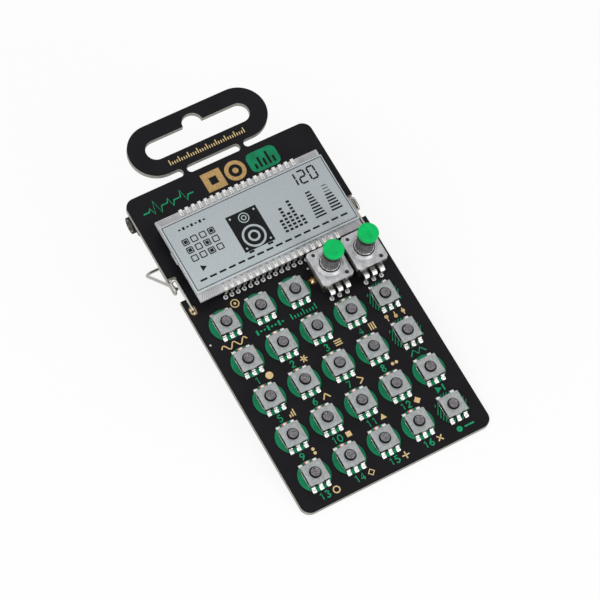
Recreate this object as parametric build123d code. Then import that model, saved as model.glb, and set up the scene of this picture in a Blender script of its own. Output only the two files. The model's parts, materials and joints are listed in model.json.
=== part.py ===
"""Pocket drum machine on one bare circuit board, propped up on its wire stand.

Everything is drawn in the frame of the board: X to the right, Y up the board,
Z out of its front face, with the origin at the middle of that face. At the end
the whole thing is leaned back so that the board's lower edge and the foot of
the stand both touch the table, which is the plane Z = 0. Millimetres.
"""
from build123d import *
from math import asin, atan2, cos, degrees, hypot, radians, sin
import os

# ---- driving dimensions ------------------------------------------------------
# board
BOARD_W = 60.0
BOARD_H = 105.0
BOARD_T = 1.6
BOARD_CORNER = 3.0
# hang tab, which is the same board, broken out along a row of routed gaps
TAB_W = 43.8
TAB_H = 16.6
TAB_GAP = 2.4
BRIDGE_X = 9.2
BRIDGE_W = 1.4
SLOT_W = 33.2
SLOT_H = 6.2
SLOT_RISE = 5.2
BUMP_R = 3.1
# notches in the sides of the board, where the stand turns
NOTCH_Y = 22.2
NOTCH_L = 7.6
NOTCH_D = 2.4
NOTCH_CORNER = 0.7
# push buttons, in five rows and five columns
PITCH_X = 11.0
PITCH_Y = 12.5
TOP_ROW_Y = 6.75
SWITCH_W = 6.2
COVER_TOP = 2.5
SHEET = 0.25
PLUNGER_D = 3.0
PLUNGER_HOLE_D = 3.4
PLUNGER_TOP = 3.1
TRAVEL = 0.25
LEAD_PITCH = 2.25
# knobs
KNOB_X = 11.0
KNOB_PITCH = 11.1
KNOB_Y = 7.65
POT_W = 9.8
POT_H = 11.1
POT_SHIFT = -0.2
POT_TOP = 6.8
KNOB_TOP = 16.6
KNOB_D = 6.2
LEG_PITCH = 2.5
# display
GLASS_W = 52.2
GLASS_T = 1.1
REAR_GLASS_H = 27.0
FRONT_GLASS_H = 22.4
DISPLAY_Y = 27.8
DISPLAY_Z = 3.5
FILM_W = 50.8
FILM_H = 20.8
PIN_PITCH = 2.0
PIN_COUNT = 19
# wire stand
WIRE_R = 0.45
WIRE_FLATS = 8
BEND_STEP = 30.0
PIVOT_Y = 22.6
PIVOT_Z = -1.1
STAND_ANGLE = 54.2
LEG_LENGTH = 28.1
LEG_X = 28.5
EYE_X = 29.6
HINGE_GAP = 0.1
EYELET_X = 28.05
EYELET_Y = 14.5
# back of the board
CELL_D = 10.5
CELL_L = 44.5
CELLS_Y = (25.0, 36.4)
JACK_Y = 47.0
JACK_BORE_R = 1.8
JACK_DEPTH = 14.0
SPEAKER_R = 10.0
SPEAKER_Y = -24.0
SPEAKER_T = 3.6

# small round details that repeat are drawn with this many sides
ROUND_SIDES = 12

BACK = -BOARD_T
TAB_TOP = BOARD_H / 2 + TAB_GAP + TAB_H

# how far the board leans back when its lower edge and the stand both touch down
FOOT_Y = PIVOT_Y + LEG_LENGTH * cos(radians(STAND_ANGLE))
FOOT_Z = PIVOT_Z - LEG_LENGTH * sin(radians(STAND_ANGLE))
REACH = FOOT_Y + BOARD_H / 2
DROP = BACK - FOOT_Z
LEAN = degrees(atan2(DROP, REACH) + asin(WIRE_R / hypot(DROP, REACH)))
LEAN_SIN = sin(radians(LEAN))
LEAN_COS = cos(radians(LEAN))
LIFT = BOARD_H / 2 * LEAN_SIN + BOARD_T * LEAN_COS
CENTRE_Y = (TAB_TOP * LEAN_COS + BOARD_T * LEAN_SIN - BOARD_H / 2 * LEAN_COS) / 2
STANDING = Location((0, -CENTRE_Y, LIFT), (LEAN, 0, 0))


# ---- small helpers -------------------------------------------------------------
def block(width, height, low, high, x=0.0, y=0.0):
    """A plain block between two heights above the board."""
    return Pos(x, y, (low + high) / 2) * Box(width, height, high - low)


def disc(radius, low, high, x=0.0, y=0.0):
    """A plain cylinder between two heights above the board."""
    return Pos(x, y, (low + high) / 2) * Cylinder(radius, high - low)


def plate(sketch, low, high):
    """A flat outline given a thickness between two heights above the board."""
    return extrude(Pos(0, 0, low) * sketch, amount=high - low)


def round_bar(width, low, high):
    """A small round bar as a prism of a few sides, to keep what repeats light."""
    return plate(RegularPolygon(width / 2, ROUND_SIDES), low, high)


def small_slot(length, width):
    """A short obround along X, its ends drawn with as few sides as a small round bar."""
    run = (length - width) / 2
    ends = [Pos(side * run, 0) * RegularPolygon(width / 2, ROUND_SIDES) for side in (-1, 1)]
    return Rectangle(2 * run, width) + ends


def wire(*runs):
    """A wire along runs that meet end to end, its bends drawn in short straight steps."""
    edges = [edge for run in runs for edge in run.edges()]
    points = []
    for edge in edges:
        steps = max(1, round((edge % 0).get_angle(edge % 1) / BEND_STEP))
        points += [edge @ (n / steps) for n in range(steps)]
    path = Polyline(*points, edges[-1] @ 1)
    section = Plane(origin=path @ 0, z_dir=path % 0) * RegularPolygon(WIRE_R, WIRE_FLATS)
    return sweep(section, path=path, transition=Transition.RIGHT)


def side_profile(points, x, width):
    """A strip whose outline is drawn looking along X, as (y, z) points."""
    outline = make_face(Polyline(*points, close=True))
    side = Plane(origin=(x - width / 2, 0, 0), x_dir=(0, 1, 0), z_dir=(1, 0, 0))
    return extrude(side * outline, amount=width)


def group(solids):
    """Separate solids that belong to one kind of piece."""
    return Compound(children=[solid for shape in solids for solid in shape.solids()])


def save(name, shape):
    export_step(STANDING * shape, f"parts/{name}.step")


# ---- board ---------------------------------------------------------------------
EYELET = (2.3, 1.4)
LUG_HOLES_X = (KNOB_X - POT_W / 2, KNOB_X + KNOB_PITCH / 2, KNOB_X + KNOB_PITCH + POT_W / 2)
LUG_HOLE_Y = 7.45
LUG_HOLE_R = 0.85


def board():
    body = RectangleRounded(BOARD_W, BOARD_H, BOARD_CORNER)
    tab_y = TAB_TOP - TAB_H / 2
    tab = Pos(0, tab_y) * SlotOverall(TAB_W, TAB_H)
    gap_y = BOARD_H / 2 + TAB_GAP / 2
    bridges = Pos(0, gap_y) * Rectangle(2 * BRIDGE_X + TAB_GAP + BRIDGE_W, TAB_GAP + 1)
    gap_r = TAB_GAP / 2
    inner_gap = Pos(0, gap_y) * SlotOverall(2 * BRIDGE_X - BRIDGE_W, TAB_GAP)
    outer_gaps = [Pos(side * (BRIDGE_X + BRIDGE_W / 2 + gap_r), gap_y) * Circle(gap_r) for side in (-1, 1)]
    hook_y = BOARD_H / 2 + TAB_GAP + SLOT_RISE + SLOT_H / 2
    hook = Pos(0, hook_y) * SlotOverall(SLOT_W, SLOT_H) + Pos(0, hook_y + SLOT_H / 2) * Circle(BUMP_R)
    outline = body + tab + bridges - inner_gap - outer_gaps - hook
    for side in (-1, 1):
        bite = RectangleRounded(2 * NOTCH_D, NOTCH_L, NOTCH_CORNER)
        outline -= Pos(side * BOARD_W / 2, NOTCH_Y) * bite
        outline -= Pos(side * EYELET_X, EYELET_Y) * Rot(0, 0, 90) * small_slot(*EYELET)
    for x in LUG_HOLES_X:
        outline -= Pos(x, LUG_HOLE_Y) * RegularPolygon(LUG_HOLE_R, ROUND_SIDES)
    return plate(outline, BACK, 0)


# ---- display -------------------------------------------------------------------
REAR_GLASS = (DISPLAY_Z, DISPLAY_Z + GLASS_T)
FRONT_GLASS = (REAR_GLASS[1], REAR_GLASS[1] + GLASS_T)
FILM_T = 0.2
FRONT_Y = DISPLAY_Y - 0.1
REFLECTOR_INSET = 0.3
SEAL_PLUG = (1.0, 4.0, 1.2)
SEAL_PLUG_Y = 29.1
PIN_W = 1.0
PIN_T = 0.3
PIN_GRIP = 1.8


def display_pin(x, side):
    """One spring clip over the edge of the rear glass, with its lead down to the board."""
    edge = DISPLAY_Y + side * REAR_GLASS_H / 2
    outer = edge + side * PIN_T
    high = REAR_GLASS[1]
    grip = edge - side * PIN_GRIP
    outline = [(grip, high), (grip, high + PIN_T), (outer, high + PIN_T), (outer, 0), (edge, 0), (edge, high)]
    return side_profile(outline, x, PIN_W)


def display():
    rear = block(GLASS_W, REAR_GLASS_H, *REAR_GLASS, y=DISPLAY_Y)
    front = block(GLASS_W, FRONT_GLASS_H, *FRONT_GLASS, y=FRONT_Y)
    front_film = block(FILM_W, FILM_H, FRONT_GLASS[1], FRONT_GLASS[1] + FILM_T, y=FRONT_Y)
    rear_film = block(GLASS_W - 2 * REFLECTOR_INSET, REAR_GLASS_H - 2 * REFLECTOR_INSET,
                      REAR_GLASS[0] - FILM_T, REAR_GLASS[0], y=DISPLAY_Y)
    columns = [(n - (PIN_COUNT - 1) / 2) * PIN_PITCH for n in range(PIN_COUNT)]
    pins = [display_pin(x, side) for side in (-1, 1) for x in columns]
    plug = Pos(-GLASS_W / 2, SEAL_PLUG_Y, FRONT_GLASS[0]) * Box(*SEAL_PLUG)
    plug -= block(GLASS_W, REAR_GLASS_H, REAR_GLASS[0], FRONT_GLASS[1], y=DISPLAY_Y)
    save("display_rear_glass", rear)
    save("display_front_glass", front)
    save("display_front_film", front_film)
    save("display_rear_film", rear_film)
    save("display_pins", group(pins))
    save("display_seal_plug", plug)


# ---- push buttons ----------------------------------------------------------------
BUTTON_ROWS = (
    ("sound", "pattern", "tempo"),
    ("1", "2", "3", "4", "function"),
    ("5", "6", "7", "8", "effects"),
    ("9", "10", "11", "12", "play"),
    ("13", "14", "15", "16", "write"),
)
BASE_TOP = 1.9
POCKET_W = 4.6
POCKET_FLOOR = 0.9
DOME_FOOT_W = 4.0
DOME_RISE = 0.5
DOME_SLOPE = 68.0
FLANGE_W = 3.9
FLANGE_T = 0.35
FLANGE_GAP = 0.05
WALL_LOW = 0.7
LEAD_W = 1.1
LEAD_T = 0.3
LEAD_ROOT = 1.1
LEAD_OUT = 1.4
LED_DIMS = (1.6, 0.8, 0.55)
LED_Y = 4.0


def button_places():
    """Name, x and y of each push button."""
    places = []
    for row, names in enumerate(BUTTON_ROWS):
        for column, name in enumerate(names):
            places.append((name, (column - 2) * PITCH_X, TOP_ROW_Y - row * PITCH_Y))
    return places


def switch_base():
    body = block(SWITCH_W - 2 * SHEET, SWITCH_W - 0.1, 0, BASE_TOP)
    return body - block(POCKET_W, POCKET_W, POCKET_FLOOR, BASE_TOP)


def switch_cover():
    """Sheet cover folded down along both sides, with the hole for the plunger."""
    outer = block(SWITCH_W, SWITCH_W, WALL_LOW, COVER_TOP)
    inner = block(SWITCH_W - 2 * SHEET, SWITCH_W, WALL_LOW, COVER_TOP - SHEET)
    return outer - inner - round_bar(PLUNGER_HOLE_D, WALL_LOW, COVER_TOP)


def switch_dome():
    """Snap spring on the floor of the pocket, bowed up under the plunger."""
    foot = Pos(0, 0, POCKET_FLOOR) * Rectangle(DOME_FOOT_W, DOME_FOOT_W)
    return extrude(foot, amount=DOME_RISE, taper=DOME_SLOPE)


def switch_lead(x, side):
    """A lead that slopes down from the base to its pad, filled under with solder."""
    root = side * (SWITCH_W / 2 - 0.05)
    toe = side * (SWITCH_W / 2 + LEAD_OUT)
    points = [(root, LEAD_ROOT), (toe, LEAD_T), (toe, 0), (root, 0)]
    return side_profile(points, x, LEAD_W)


def plunger():
    flange_top = COVER_TOP - SHEET - FLANGE_GAP
    flange = block(FLANGE_W, FLANGE_W, flange_top - FLANGE_T, flange_top)
    return flange + round_bar(PLUNGER_D, flange_top, PLUNGER_TOP)


def push_buttons():
    places = button_places()
    base, cover, dome, stem = switch_base(), switch_cover(), switch_dome(), plunger()
    leads = [switch_lead(column * LEAD_PITCH, -1) for column in (-1, 0, 1)]
    leads += [switch_lead(column * LEAD_PITCH, 1) for column in (-1, 1)]
    save("switch_bases", group([Pos(x, y, 0) * base for _, x, y in places]))
    save("switch_covers", group([Pos(x, y, 0) * cover for _, x, y in places]))
    save("switch_domes", group([Pos(x, y, 0) * dome for _, x, y in places]))
    save("switch_leads", group([Pos(x, y, 0) * lead for _, x, y in places for lead in leads]))
    numbered = [(x, y) for name, x, y in places if name.isdigit()]
    length, depth, height = LED_DIMS
    save("step_lights", group([block(length, depth, 0, height, x, y + LED_Y) for x, y in numbered]))
    for name, x, y in places:
        save(f"button_{name}", Pos(x, y, 0) * stem)


# ---- knobs ---------------------------------------------------------------------
HOUSING_W = 7.6
HOUSING_H = POT_H - 1.4
COVER_T = 0.5
COVER_CORNER = 0.7
SIDE_T = 0.4
SIDE_DROP = 1.4
TAB_DROP = 1.0
FRONT_TAB_W = 2.2
FRONT_TAB_X = 3.2
STAKE_HOLES = ((-2.95, 4.1, 0.55), (3.1, -4.4, 0.6))
COLLAR_FOOT_R = 3.9
COLLAR_TOP_R = 3.3
COLLAR_HOLE_R = 3.05
COLLAR_RISE = 0.7
SLEEVE_R = 2.85
SLEEVE_RIBS = 18
RIB_DEPTH = 0.22
SLEEVE_TOP = KNOB_TOP - 1.5
SLEEVE_LOW = POT_TOP + 0.2
SHAFT_D = 3.5
CAP_CHAMFER = 0.3
CAP_SLOT = (3.6, 0.8, 0.4)
ROTOR_D = 6.4
ROTOR = (2.2, 3.4)
ROTOR_GAP = 0.25
PAD_Y = 0.3
LEG_TOP = 3.9
LEG_T = 0.5
LEG_BEND = 0.6
LEG_SHOULDER = 2.4
LEG_WIDE = 1.5
LEG_NARROW = 0.8


def pot_housing():
    top = POT_TOP - COVER_T
    body = block(HOUSING_W, HOUSING_H, 0, top, y=POT_SHIFT)
    chamber = ROTOR_D + 2 * ROTOR_GAP
    return body - block(chamber, chamber, ROTOR[0] - ROTOR_GAP, top)


def pot_cover():
    """Sheet plate folded down at its edges, with a raised collar round the shaft."""
    low = POT_TOP - COVER_T
    sheet = Pos(0, POT_SHIFT) * Rectangle(POT_W, POT_H)
    sheet = chamfer(sheet.vertices(), COVER_CORNER)
    for x, y, radius in STAKE_HOLES:
        sheet -= Pos(x, y) * RegularPolygon(radius, ROUND_SIDES)
    body = plate(sheet, low, POT_TOP)
    body += Pos(0, 0, POT_TOP + COLLAR_RISE / 2) * Cone(COLLAR_FOOT_R, COLLAR_TOP_R, COLLAR_RISE)
    front = POT_SHIFT - (POT_H - SIDE_T) / 2
    for side in (-1, 1):
        body += block(SIDE_T, HOUSING_H, low - SIDE_DROP, low, side * (POT_W - SIDE_T) / 2, POT_SHIFT)
        body += block(FRONT_TAB_W, SIDE_T, low - TAB_DROP, low, side * FRONT_TAB_X, front)
    return body - disc(COLLAR_HOLE_R, low, POT_TOP + COLLAR_RISE)


def pot_leg(x):
    """A flat leg that leaves the housing, turns down, narrows and stands on its pad."""
    root = KNOB_Y + POT_SHIFT - HOUSING_H / 2
    outer = PAD_Y - LEG_T / 2
    inner = outer + LEG_T
    low = LEG_TOP - LEG_T
    elbow = LEG_TOP - LEG_BEND
    outside = [(root, LEG_TOP), (outer + LEG_BEND, LEG_TOP), (outer, elbow), (outer, LEG_SHOULDER)]
    inside = [(inner, LEG_SHOULDER), (inner, low - LEG_BEND / 2), (inner + LEG_BEND / 2, low), (root, low)]
    foot = block(LEG_NARROW, LEG_T, 0, LEG_SHOULDER, x, PAD_Y)
    return side_profile(outside + inside, x, LEG_WIDE) + foot


def knob_shaft():
    """The shaft inside the knob, on the rotor that turns in the housing."""
    return round_bar(ROTOR_D, *ROTOR) + round_bar(SHAFT_D, ROTOR[1], SLEEVE_TOP)


def knob_sleeve():
    """Sleeve with grip ribs all round, bored for the shaft."""
    corners = []
    for n in range(2 * SLEEVE_RIBS):
        angle = radians(n * 180 / SLEEVE_RIBS)
        radius = SLEEVE_R - RIB_DEPTH * (n % 2)
        corners.append((radius * cos(angle), radius * sin(angle)))
    ribs = make_face(Polyline(*corners, close=True))
    return plate(ribs, SLEEVE_LOW, SLEEVE_TOP) - round_bar(SHAFT_D, SLEEVE_LOW, SLEEVE_TOP)


def knob_cap():
    """Coloured cap on top of the sleeve, with a slot that shows which way it points."""
    cap = disc(KNOB_D / 2, SLEEVE_TOP, KNOB_TOP)
    cap = chamfer(cap.edges().group_by(Axis.Z)[-1], CAP_CHAMFER)
    length, width, depth = CAP_SLOT
    return cap - block(width, length, KNOB_TOP - depth, KNOB_TOP)


def knobs():
    centres = [("left", KNOB_X), ("right", KNOB_X + KNOB_PITCH)]
    housing, cover = pot_housing(), pot_cover()
    shaft, sleeve, cap = knob_shaft(), knob_sleeve(), knob_cap()
    save("pot_housings", group([Pos(x, KNOB_Y, 0) * housing for _, x in centres]))
    save("pot_covers", group([Pos(x, KNOB_Y, 0) * cover for _, x in centres]))
    save("pot_legs", group([pot_leg(x + n * LEG_PITCH) for _, x in centres for n in (-1, 0, 1)]))
    for name, x in centres:
        save(f"{name}_knob_shaft", Pos(x, KNOB_Y, 0) * shaft)
        save(f"{name}_knob_sleeve", Pos(x, KNOB_Y, 0) * sleeve)
        save(f"{name}_knob_cap", Pos(x, KNOB_Y, 0) * cap)


# ---- wire stand ------------------------------------------------------------------
EYE_R = 2 * WIRE_R + HINGE_GAP
FRONT_RUN_Z = WIRE_R + 0.05
RUN_TOP_Y = 24.9
BACK_RUN_Y = 31.0
CLIP_TAIL = 0.5
CLIP_BENDS = [0.6, 0.7, 0.7]
BAIL_BENDS = [0.6, 2.5, 2.5, 0.6]


def stand_clip():
    """Left clip: from its eyelet up the front, round the hinge pin and up the back."""
    eye_top = (-EYE_X, PIVOT_Y, PIVOT_Z + EYE_R)
    eye_side = (-EYE_X, PIVOT_Y - EYE_R, PIVOT_Z)
    eye_low = (-EYE_X, PIVOT_Y, PIVOT_Z - EYE_R)
    front = FilletPolyline(
        (-EYELET_X, EYELET_Y, BACK - CLIP_TAIL),
        (-EYELET_X, EYELET_Y, FRONT_RUN_Z),
        (-EYELET_X, RUN_TOP_Y, FRONT_RUN_Z),
        (-EYE_X, RUN_TOP_Y, PIVOT_Z + EYE_R),
        eye_top,
        radius=CLIP_BENDS,
    )
    back = Line(eye_low, (-EYE_X, BACK_RUN_Y, PIVOT_Z - EYE_R))
    return wire(front, ThreePointArc(eye_top, eye_side, eye_low), back)


def stand_bail():
    """The two legs and the foot, one wire, with a hinge pin turned out at each end."""
    pin_end = EYE_X + WIRE_R
    bail = FilletPolyline(
        (-pin_end, PIVOT_Y, PIVOT_Z),
        (-LEG_X, PIVOT_Y, PIVOT_Z),
        (-LEG_X, FOOT_Y, FOOT_Z),
        (LEG_X, FOOT_Y, FOOT_Z),
        (LEG_X, PIVOT_Y, PIVOT_Z),
        (pin_end, PIVOT_Y, PIVOT_Z),
        radius=BAIL_BENDS,
    )
    return wire(bail)


def stand():
    clip = stand_clip()
    save("left_stand_clip", clip)
    save("right_stand_clip", mirror(clip, about=Plane.YZ))
    save("stand_bail", stand_bail())


# ---- back of the board -------------------------------------------------------------
CELL_GAP = 0.9
CELL_Z = BACK - CELL_GAP - CELL_D / 2
CELL_NUB_D = 3.8
CELL_NUB_L = 0.8
CONTACT_T = 0.4
CONTACT_W = 9.0
CONTACT_FOOT = 2.4
CONTACT_RISE = 9.0
CONTACT_TONGUE_W = 7.5
JACK_W = 6.2
JACK_H = 5.0
JACK_NOSE_R = 2.5
JACK_NOSE_X = 30.5
JACK_NOSE_L = 1.6
JACK_END_WALL = 1.0
SPEAKER_WALL = 1.5
SPEAKER_FLOOR = 1.0
SPEAKER_SIDES = 24
CONE_T = 1.9
CONE_DISH = 1.5
CONE_RIM = 0.9
CONE_SLOPE = 65.0
DUST_CAP_R = 3.4
DUST_CAP_RISE = 0.6
PROCESSOR = (10.0, 10.0, 1.4)
PROCESSOR_AT = (-11.0, -4.0)
AUDIO_CHIP = (5.0, 5.0, 0.9)
AUDIO_CHIP_AT = (10.0, -6.0)
CRYSTAL = (3.2, 2.5, 0.8)
CRYSTAL_AT = (-2.0, -4.0)
CAPACITOR = (3.5, 2.8, 1.9)
CAPACITORS_AT = ((-20.0, 9.0), (-14.0, 9.0), (18.0, 9.0))


def bar_along_x(shape, x, y, z):
    """A bar drawn upright, laid down along X and put in its place."""
    return Pos(x, y, z) * Rot(0, 90, 0) * shape


def cell(y, plus):
    """One dry cell across the board, with its nub towards plus."""
    body_l = CELL_L - CELL_NUB_L
    body = bar_along_x(Cylinder(CELL_D / 2, body_l), -plus * CELL_NUB_L / 2, y, CELL_Z)
    nub = round_bar(CELL_NUB_D, -CELL_NUB_L, CELL_NUB_L)
    return body + bar_along_x(nub, plus * (CELL_L / 2 - CELL_NUB_L), y, CELL_Z)


def contact(y, side):
    """Sheet contact: a foot on the board and an upright tongue that the cell presses on."""
    inner = CELL_L / 2
    foot = block(CONTACT_FOOT, CONTACT_W, BACK - CONTACT_T, BACK, side * (inner + CONTACT_FOOT / 2), y)
    tongue = block(CONTACT_T, CONTACT_TONGUE_W, BACK - CONTACT_RISE, BACK, side * (inner + CONTACT_T / 2), y)
    return foot + tongue


def jack():
    """Left jack: a moulded body behind the board with its nose just past the edge."""
    centre_z = BACK - JACK_H / 2
    shoulder = JACK_NOSE_X - JACK_NOSE_L
    body_l = JACK_DEPTH + JACK_END_WALL - JACK_NOSE_L
    body = block(body_l, JACK_W, BACK - JACK_H, BACK, x=body_l / 2 - shoulder, y=JACK_Y)
    nose = bar_along_x(Cylinder(JACK_NOSE_R, 2 * JACK_NOSE_L), -shoulder, JACK_Y, centre_z)
    bore = bar_along_x(Cylinder(JACK_BORE_R, JACK_DEPTH), JACK_DEPTH / 2 - JACK_NOSE_X, JACK_Y, centre_z)
    return body + nose - bore


def speaker_basket():
    rim = BACK - SPEAKER_T
    mouth = Pos(0, SPEAKER_Y) * RegularPolygon(SPEAKER_R - SPEAKER_WALL, SPEAKER_SIDES)
    return disc(SPEAKER_R, rim, BACK, y=SPEAKER_Y) - plate(mouth, rim, BACK - SPEAKER_FLOOR)


def speaker_cone():
    """The cone, dished towards the board, with the dust cap at its middle."""
    floor = BACK - SPEAKER_FLOOR
    rim = floor - CONE_T
    outline = Pos(0, SPEAKER_Y) * RegularPolygon(SPEAKER_R - SPEAKER_WALL, SPEAKER_SIDES)
    mouth = Pos(0, SPEAKER_Y, rim) * RegularPolygon(SPEAKER_R - SPEAKER_WALL - CONE_RIM, SPEAKER_SIDES)
    dust_cap = Pos(0, SPEAKER_Y, floor - CONE_T + CONE_DISH) * RegularPolygon(DUST_CAP_R, ROUND_SIDES)
    dished = plate(outline, rim, floor) - extrude(mouth, amount=CONE_DISH, taper=CONE_SLOPE)
    return dished + extrude(dust_cap, amount=-DUST_CAP_RISE, taper=CONE_SLOPE)


def chip(size, place):
    """A flat package soldered to the back of the board."""
    length, width, height = size
    return block(length, width, BACK - height, BACK, *place)


def back_of_board():
    save("battery_cells", group([cell(y, plus) for y, plus in zip(CELLS_Y, (-1, 1))]))
    save("battery_contacts", group([contact(y, side) for y in CELLS_Y for side in (-1, 1)]))
    left_jack = jack()
    save("left_jack", left_jack)
    save("right_jack", mirror(left_jack, about=Plane.YZ))
    save("speaker_basket", speaker_basket())
    save("speaker_cone", speaker_cone())
    save("processor_chip", chip(PROCESSOR, PROCESSOR_AT))
    save("audio_chip", chip(AUDIO_CHIP, AUDIO_CHIP_AT))
    save("crystal", chip(CRYSTAL, CRYSTAL_AT))
    save("capacitors", group([chip(CAPACITOR, place) for place in CAPACITORS_AT]))


# ---- the whole machine ---------------------------------------------------------------
def main():
    os.makedirs("parts", exist_ok=True)
    save("circuit_board", board())
    display()
    push_buttons()
    knobs()
    stand()
    back_of_board()
    print(f"lean {LEAN:.3f} deg, lift {LIFT:.3f}, centre {CENTRE_Y:.3f}")
    print(f"foot at y {FOOT_Y:.2f}, z {FOOT_Z:.2f} on the board's frame")


main()
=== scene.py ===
# %% [markdown]
# # A pocket drum machine on a bare circuit board
# The real object is one black circuit board that stands on its lower edge and on a bent wire.
# On its front are a segment display, 23 push buttons and two knobs, and on its back two dry
# cells, a small speaker and two sockets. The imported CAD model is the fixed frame: every piece
# below is modelled flat in the board's own millimetres, and one matrix then leans it back.

# %% Load the frame
import bmesh
import bpy
import json
from math import atan2, cos, degrees, pi, radians, sin, sqrt, tan
from mathutils import Matrix, Quaternion, Vector


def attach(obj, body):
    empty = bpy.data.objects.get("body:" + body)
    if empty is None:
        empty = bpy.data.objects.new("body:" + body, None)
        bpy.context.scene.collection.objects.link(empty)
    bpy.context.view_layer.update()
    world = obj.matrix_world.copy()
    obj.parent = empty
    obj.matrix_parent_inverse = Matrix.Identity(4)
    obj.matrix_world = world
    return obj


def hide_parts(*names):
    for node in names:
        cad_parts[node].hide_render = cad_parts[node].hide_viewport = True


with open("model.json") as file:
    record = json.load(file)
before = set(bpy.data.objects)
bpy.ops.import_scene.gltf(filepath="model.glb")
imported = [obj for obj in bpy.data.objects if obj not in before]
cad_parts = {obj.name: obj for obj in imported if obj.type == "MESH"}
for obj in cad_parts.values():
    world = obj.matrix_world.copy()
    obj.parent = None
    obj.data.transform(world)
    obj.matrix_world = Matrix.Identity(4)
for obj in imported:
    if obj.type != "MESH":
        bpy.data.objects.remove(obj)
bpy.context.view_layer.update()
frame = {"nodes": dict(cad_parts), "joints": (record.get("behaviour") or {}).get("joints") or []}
nodes = frame["nodes"]
JOINTS = {joint["name"]: joint for joint in frame["joints"]}

# %% [markdown]
# ## The board's own axes
# Working on a leaning part is awkward, so the pieces are modelled on a board that lies flat,
# with its middle at the origin, X to the right, Y up the board and Z out of its front. A button
# is pressed straight into the board, so the axis of its joint gives the lean, and the board's
# lower edge and front face give the place. Another way is to turn every object and leave it
# turned, but a turned object would slide its patterns, so the matrix is applied to the mesh.

# %% The matrix from the flat board to the standing one
MM = 0.001
BOARD_H = 105.0

press = Vector(JOINTS["button_1_press"]["axis"])
LEAN = atan2(press.y, -press.z)
lean = Matrix.Rotation(LEAN, 4, "X")
flat = [lean.inverted() @ v.co for v in nodes["circuit_board"].data.vertices]
foot = min(v.y for v in flat)
face = max(v.z for v in flat)
ON_BOARD = lean @ Matrix.Translation((0, foot + BOARD_H / 2 * MM, face)) @ Matrix.Scale(MM, 4)
print("lean", round(degrees(LEAN), 3), "degrees")


# %% Where a node lies on the flat board
def board_box(node):
    """Lowest and highest corner of a CAD node, in millimetres on the flat board."""
    back = ON_BOARD.inverted()
    places = [back @ v.co for v in nodes[node].data.vertices]
    return [Vector([pick(p[axis] for p in places) for axis in range(3)]) for pick in (min, max)]


def spot_of(node):
    """The point of the board's face that has the middle of a node above or below it."""
    low, high = board_box(node)
    return ((low + high) / 2).xy.to_3d()


BUTTONS = {name: spot_of(name) for name in nodes if name.startswith("button_")}
STEPS = {name: place for name, place in BUTTONS.items() if name[7:].isdigit()}
KNOBS = {side: spot_of(f"{side}_knob_cap") for side in ("left", "right")}
print("buttons", len(BUTTONS), "of them numbered", len(STEPS))

# %% [markdown]
# ## Small tools for modelling
# Most parts here are punched, folded or moulded, so a few shapes come back all the time: a
# block, a turned shape, and a strip with a bent side view. Each tool adds one closed shape to a
# bmesh, and `soften` rounds its edges, because no real edge is perfectly sharp and the thin
# highlight along it is what makes metal and plastic look real.


# %% Blocks and rods
def block(shape, size, at):
    """A box of that size with its middle at a point."""
    place = Matrix.LocRotScale(Vector(at), None, Vector(size))
    return bmesh.ops.create_cube(shape, size=1.0, matrix=place)["verts"]


def rod(shape, radius, low, high, at=(0, 0), sides=32):
    """An upright round bar between two heights."""
    place = Matrix.Translation((at[0], at[1], (low + high) / 2))
    made = bmesh.ops.create_cone(shape, cap_ends=True, segments=sides, radius1=radius,
                                 radius2=radius, depth=high - low, matrix=place)
    return made["verts"]


def placed(at, turn=0.0):
    """The matrix that turns a shape about Z and moves it to a point of the board."""
    return Matrix.Translation((at[0], at[1], 0)) @ Matrix.Rotation(turn, 4, "Z")


def paint(verts, finish):
    """Give the faces at these vertices another of the piece's finishes."""
    for vert in verts:
        for part in vert.link_faces:
            part.material_index = finish


def soften(shape, width, segments=2, sharp=30, verts=None):
    """Round every edge that is sharper than so many degrees."""
    bmesh.ops.recalc_face_normals(shape, faces=shape.faces)
    chosen = set(shape.verts if verts is None else verts)
    edges = [edge for edge in shape.edges if len(edge.link_faces) == 2
             and edge.calc_face_angle() > radians(sharp) and edge.verts[0] in chosen]
    bmesh.ops.bevel(shape, geom=edges, offset=width, segments=segments, profile=0.5,
                    affect="EDGES", material=-1, clamp_overlap=True)


# %% Turned shapes and strips
def turned(profile, at=(0, 0, 0), axis=(0, 0, 1), sides=32, into=None, finish=0):
    """A side view, as (radius, height) points, spun all the way round an axis."""
    shape = into or bmesh.new()
    before = set(shape.verts)
    verts = [shape.verts.new((radius, 0, height)) for radius, height in profile]
    edges = [shape.edges.new(pair) for pair in zip(verts, verts[1:])]
    if profile[0][0] > 0 or profile[-1][0] > 0:
        edges.append(shape.edges.new((verts[-1], verts[0])))
    bmesh.ops.spin(shape, geom=verts + edges, cent=(0, 0, 0), axis=(0, 0, 1), angle=2 * pi,
                   steps=sides, use_merge=True)
    bmesh.ops.remove_doubles(shape, verts=[v for v in shape.verts if v not in before], dist=1e-5)
    made = [v for v in shape.verts if v not in before]
    paint(made, finish)
    turn = Vector((0, 0, 1)).rotation_difference(Vector(axis)).to_matrix().to_4x4()
    bmesh.ops.transform(shape, matrix=Matrix.Translation(at) @ turn, verts=made)
    return shape


def extruded(shape, faces, vec):
    """Extrude faces, and hand back the new ones at the far end."""
    grown = bmesh.ops.extrude_face_region(shape, geom=faces)["geom"]
    moved = [part for part in grown if isinstance(part, bmesh.types.BMVert)]
    bmesh.ops.translate(shape, verts=moved, vec=vec)
    return [part for part in grown if isinstance(part, bmesh.types.BMFace)]


def strip(side_view, width, into=None):
    """A strip of that width along X, from its side view as (y, z) points."""
    shape = into or bmesh.new()
    side = shape.faces.new([shape.verts.new((-width / 2, y, z)) for y, z in side_view])
    extruded(shape, [side], (width, 0, 0))
    return shape


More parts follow.
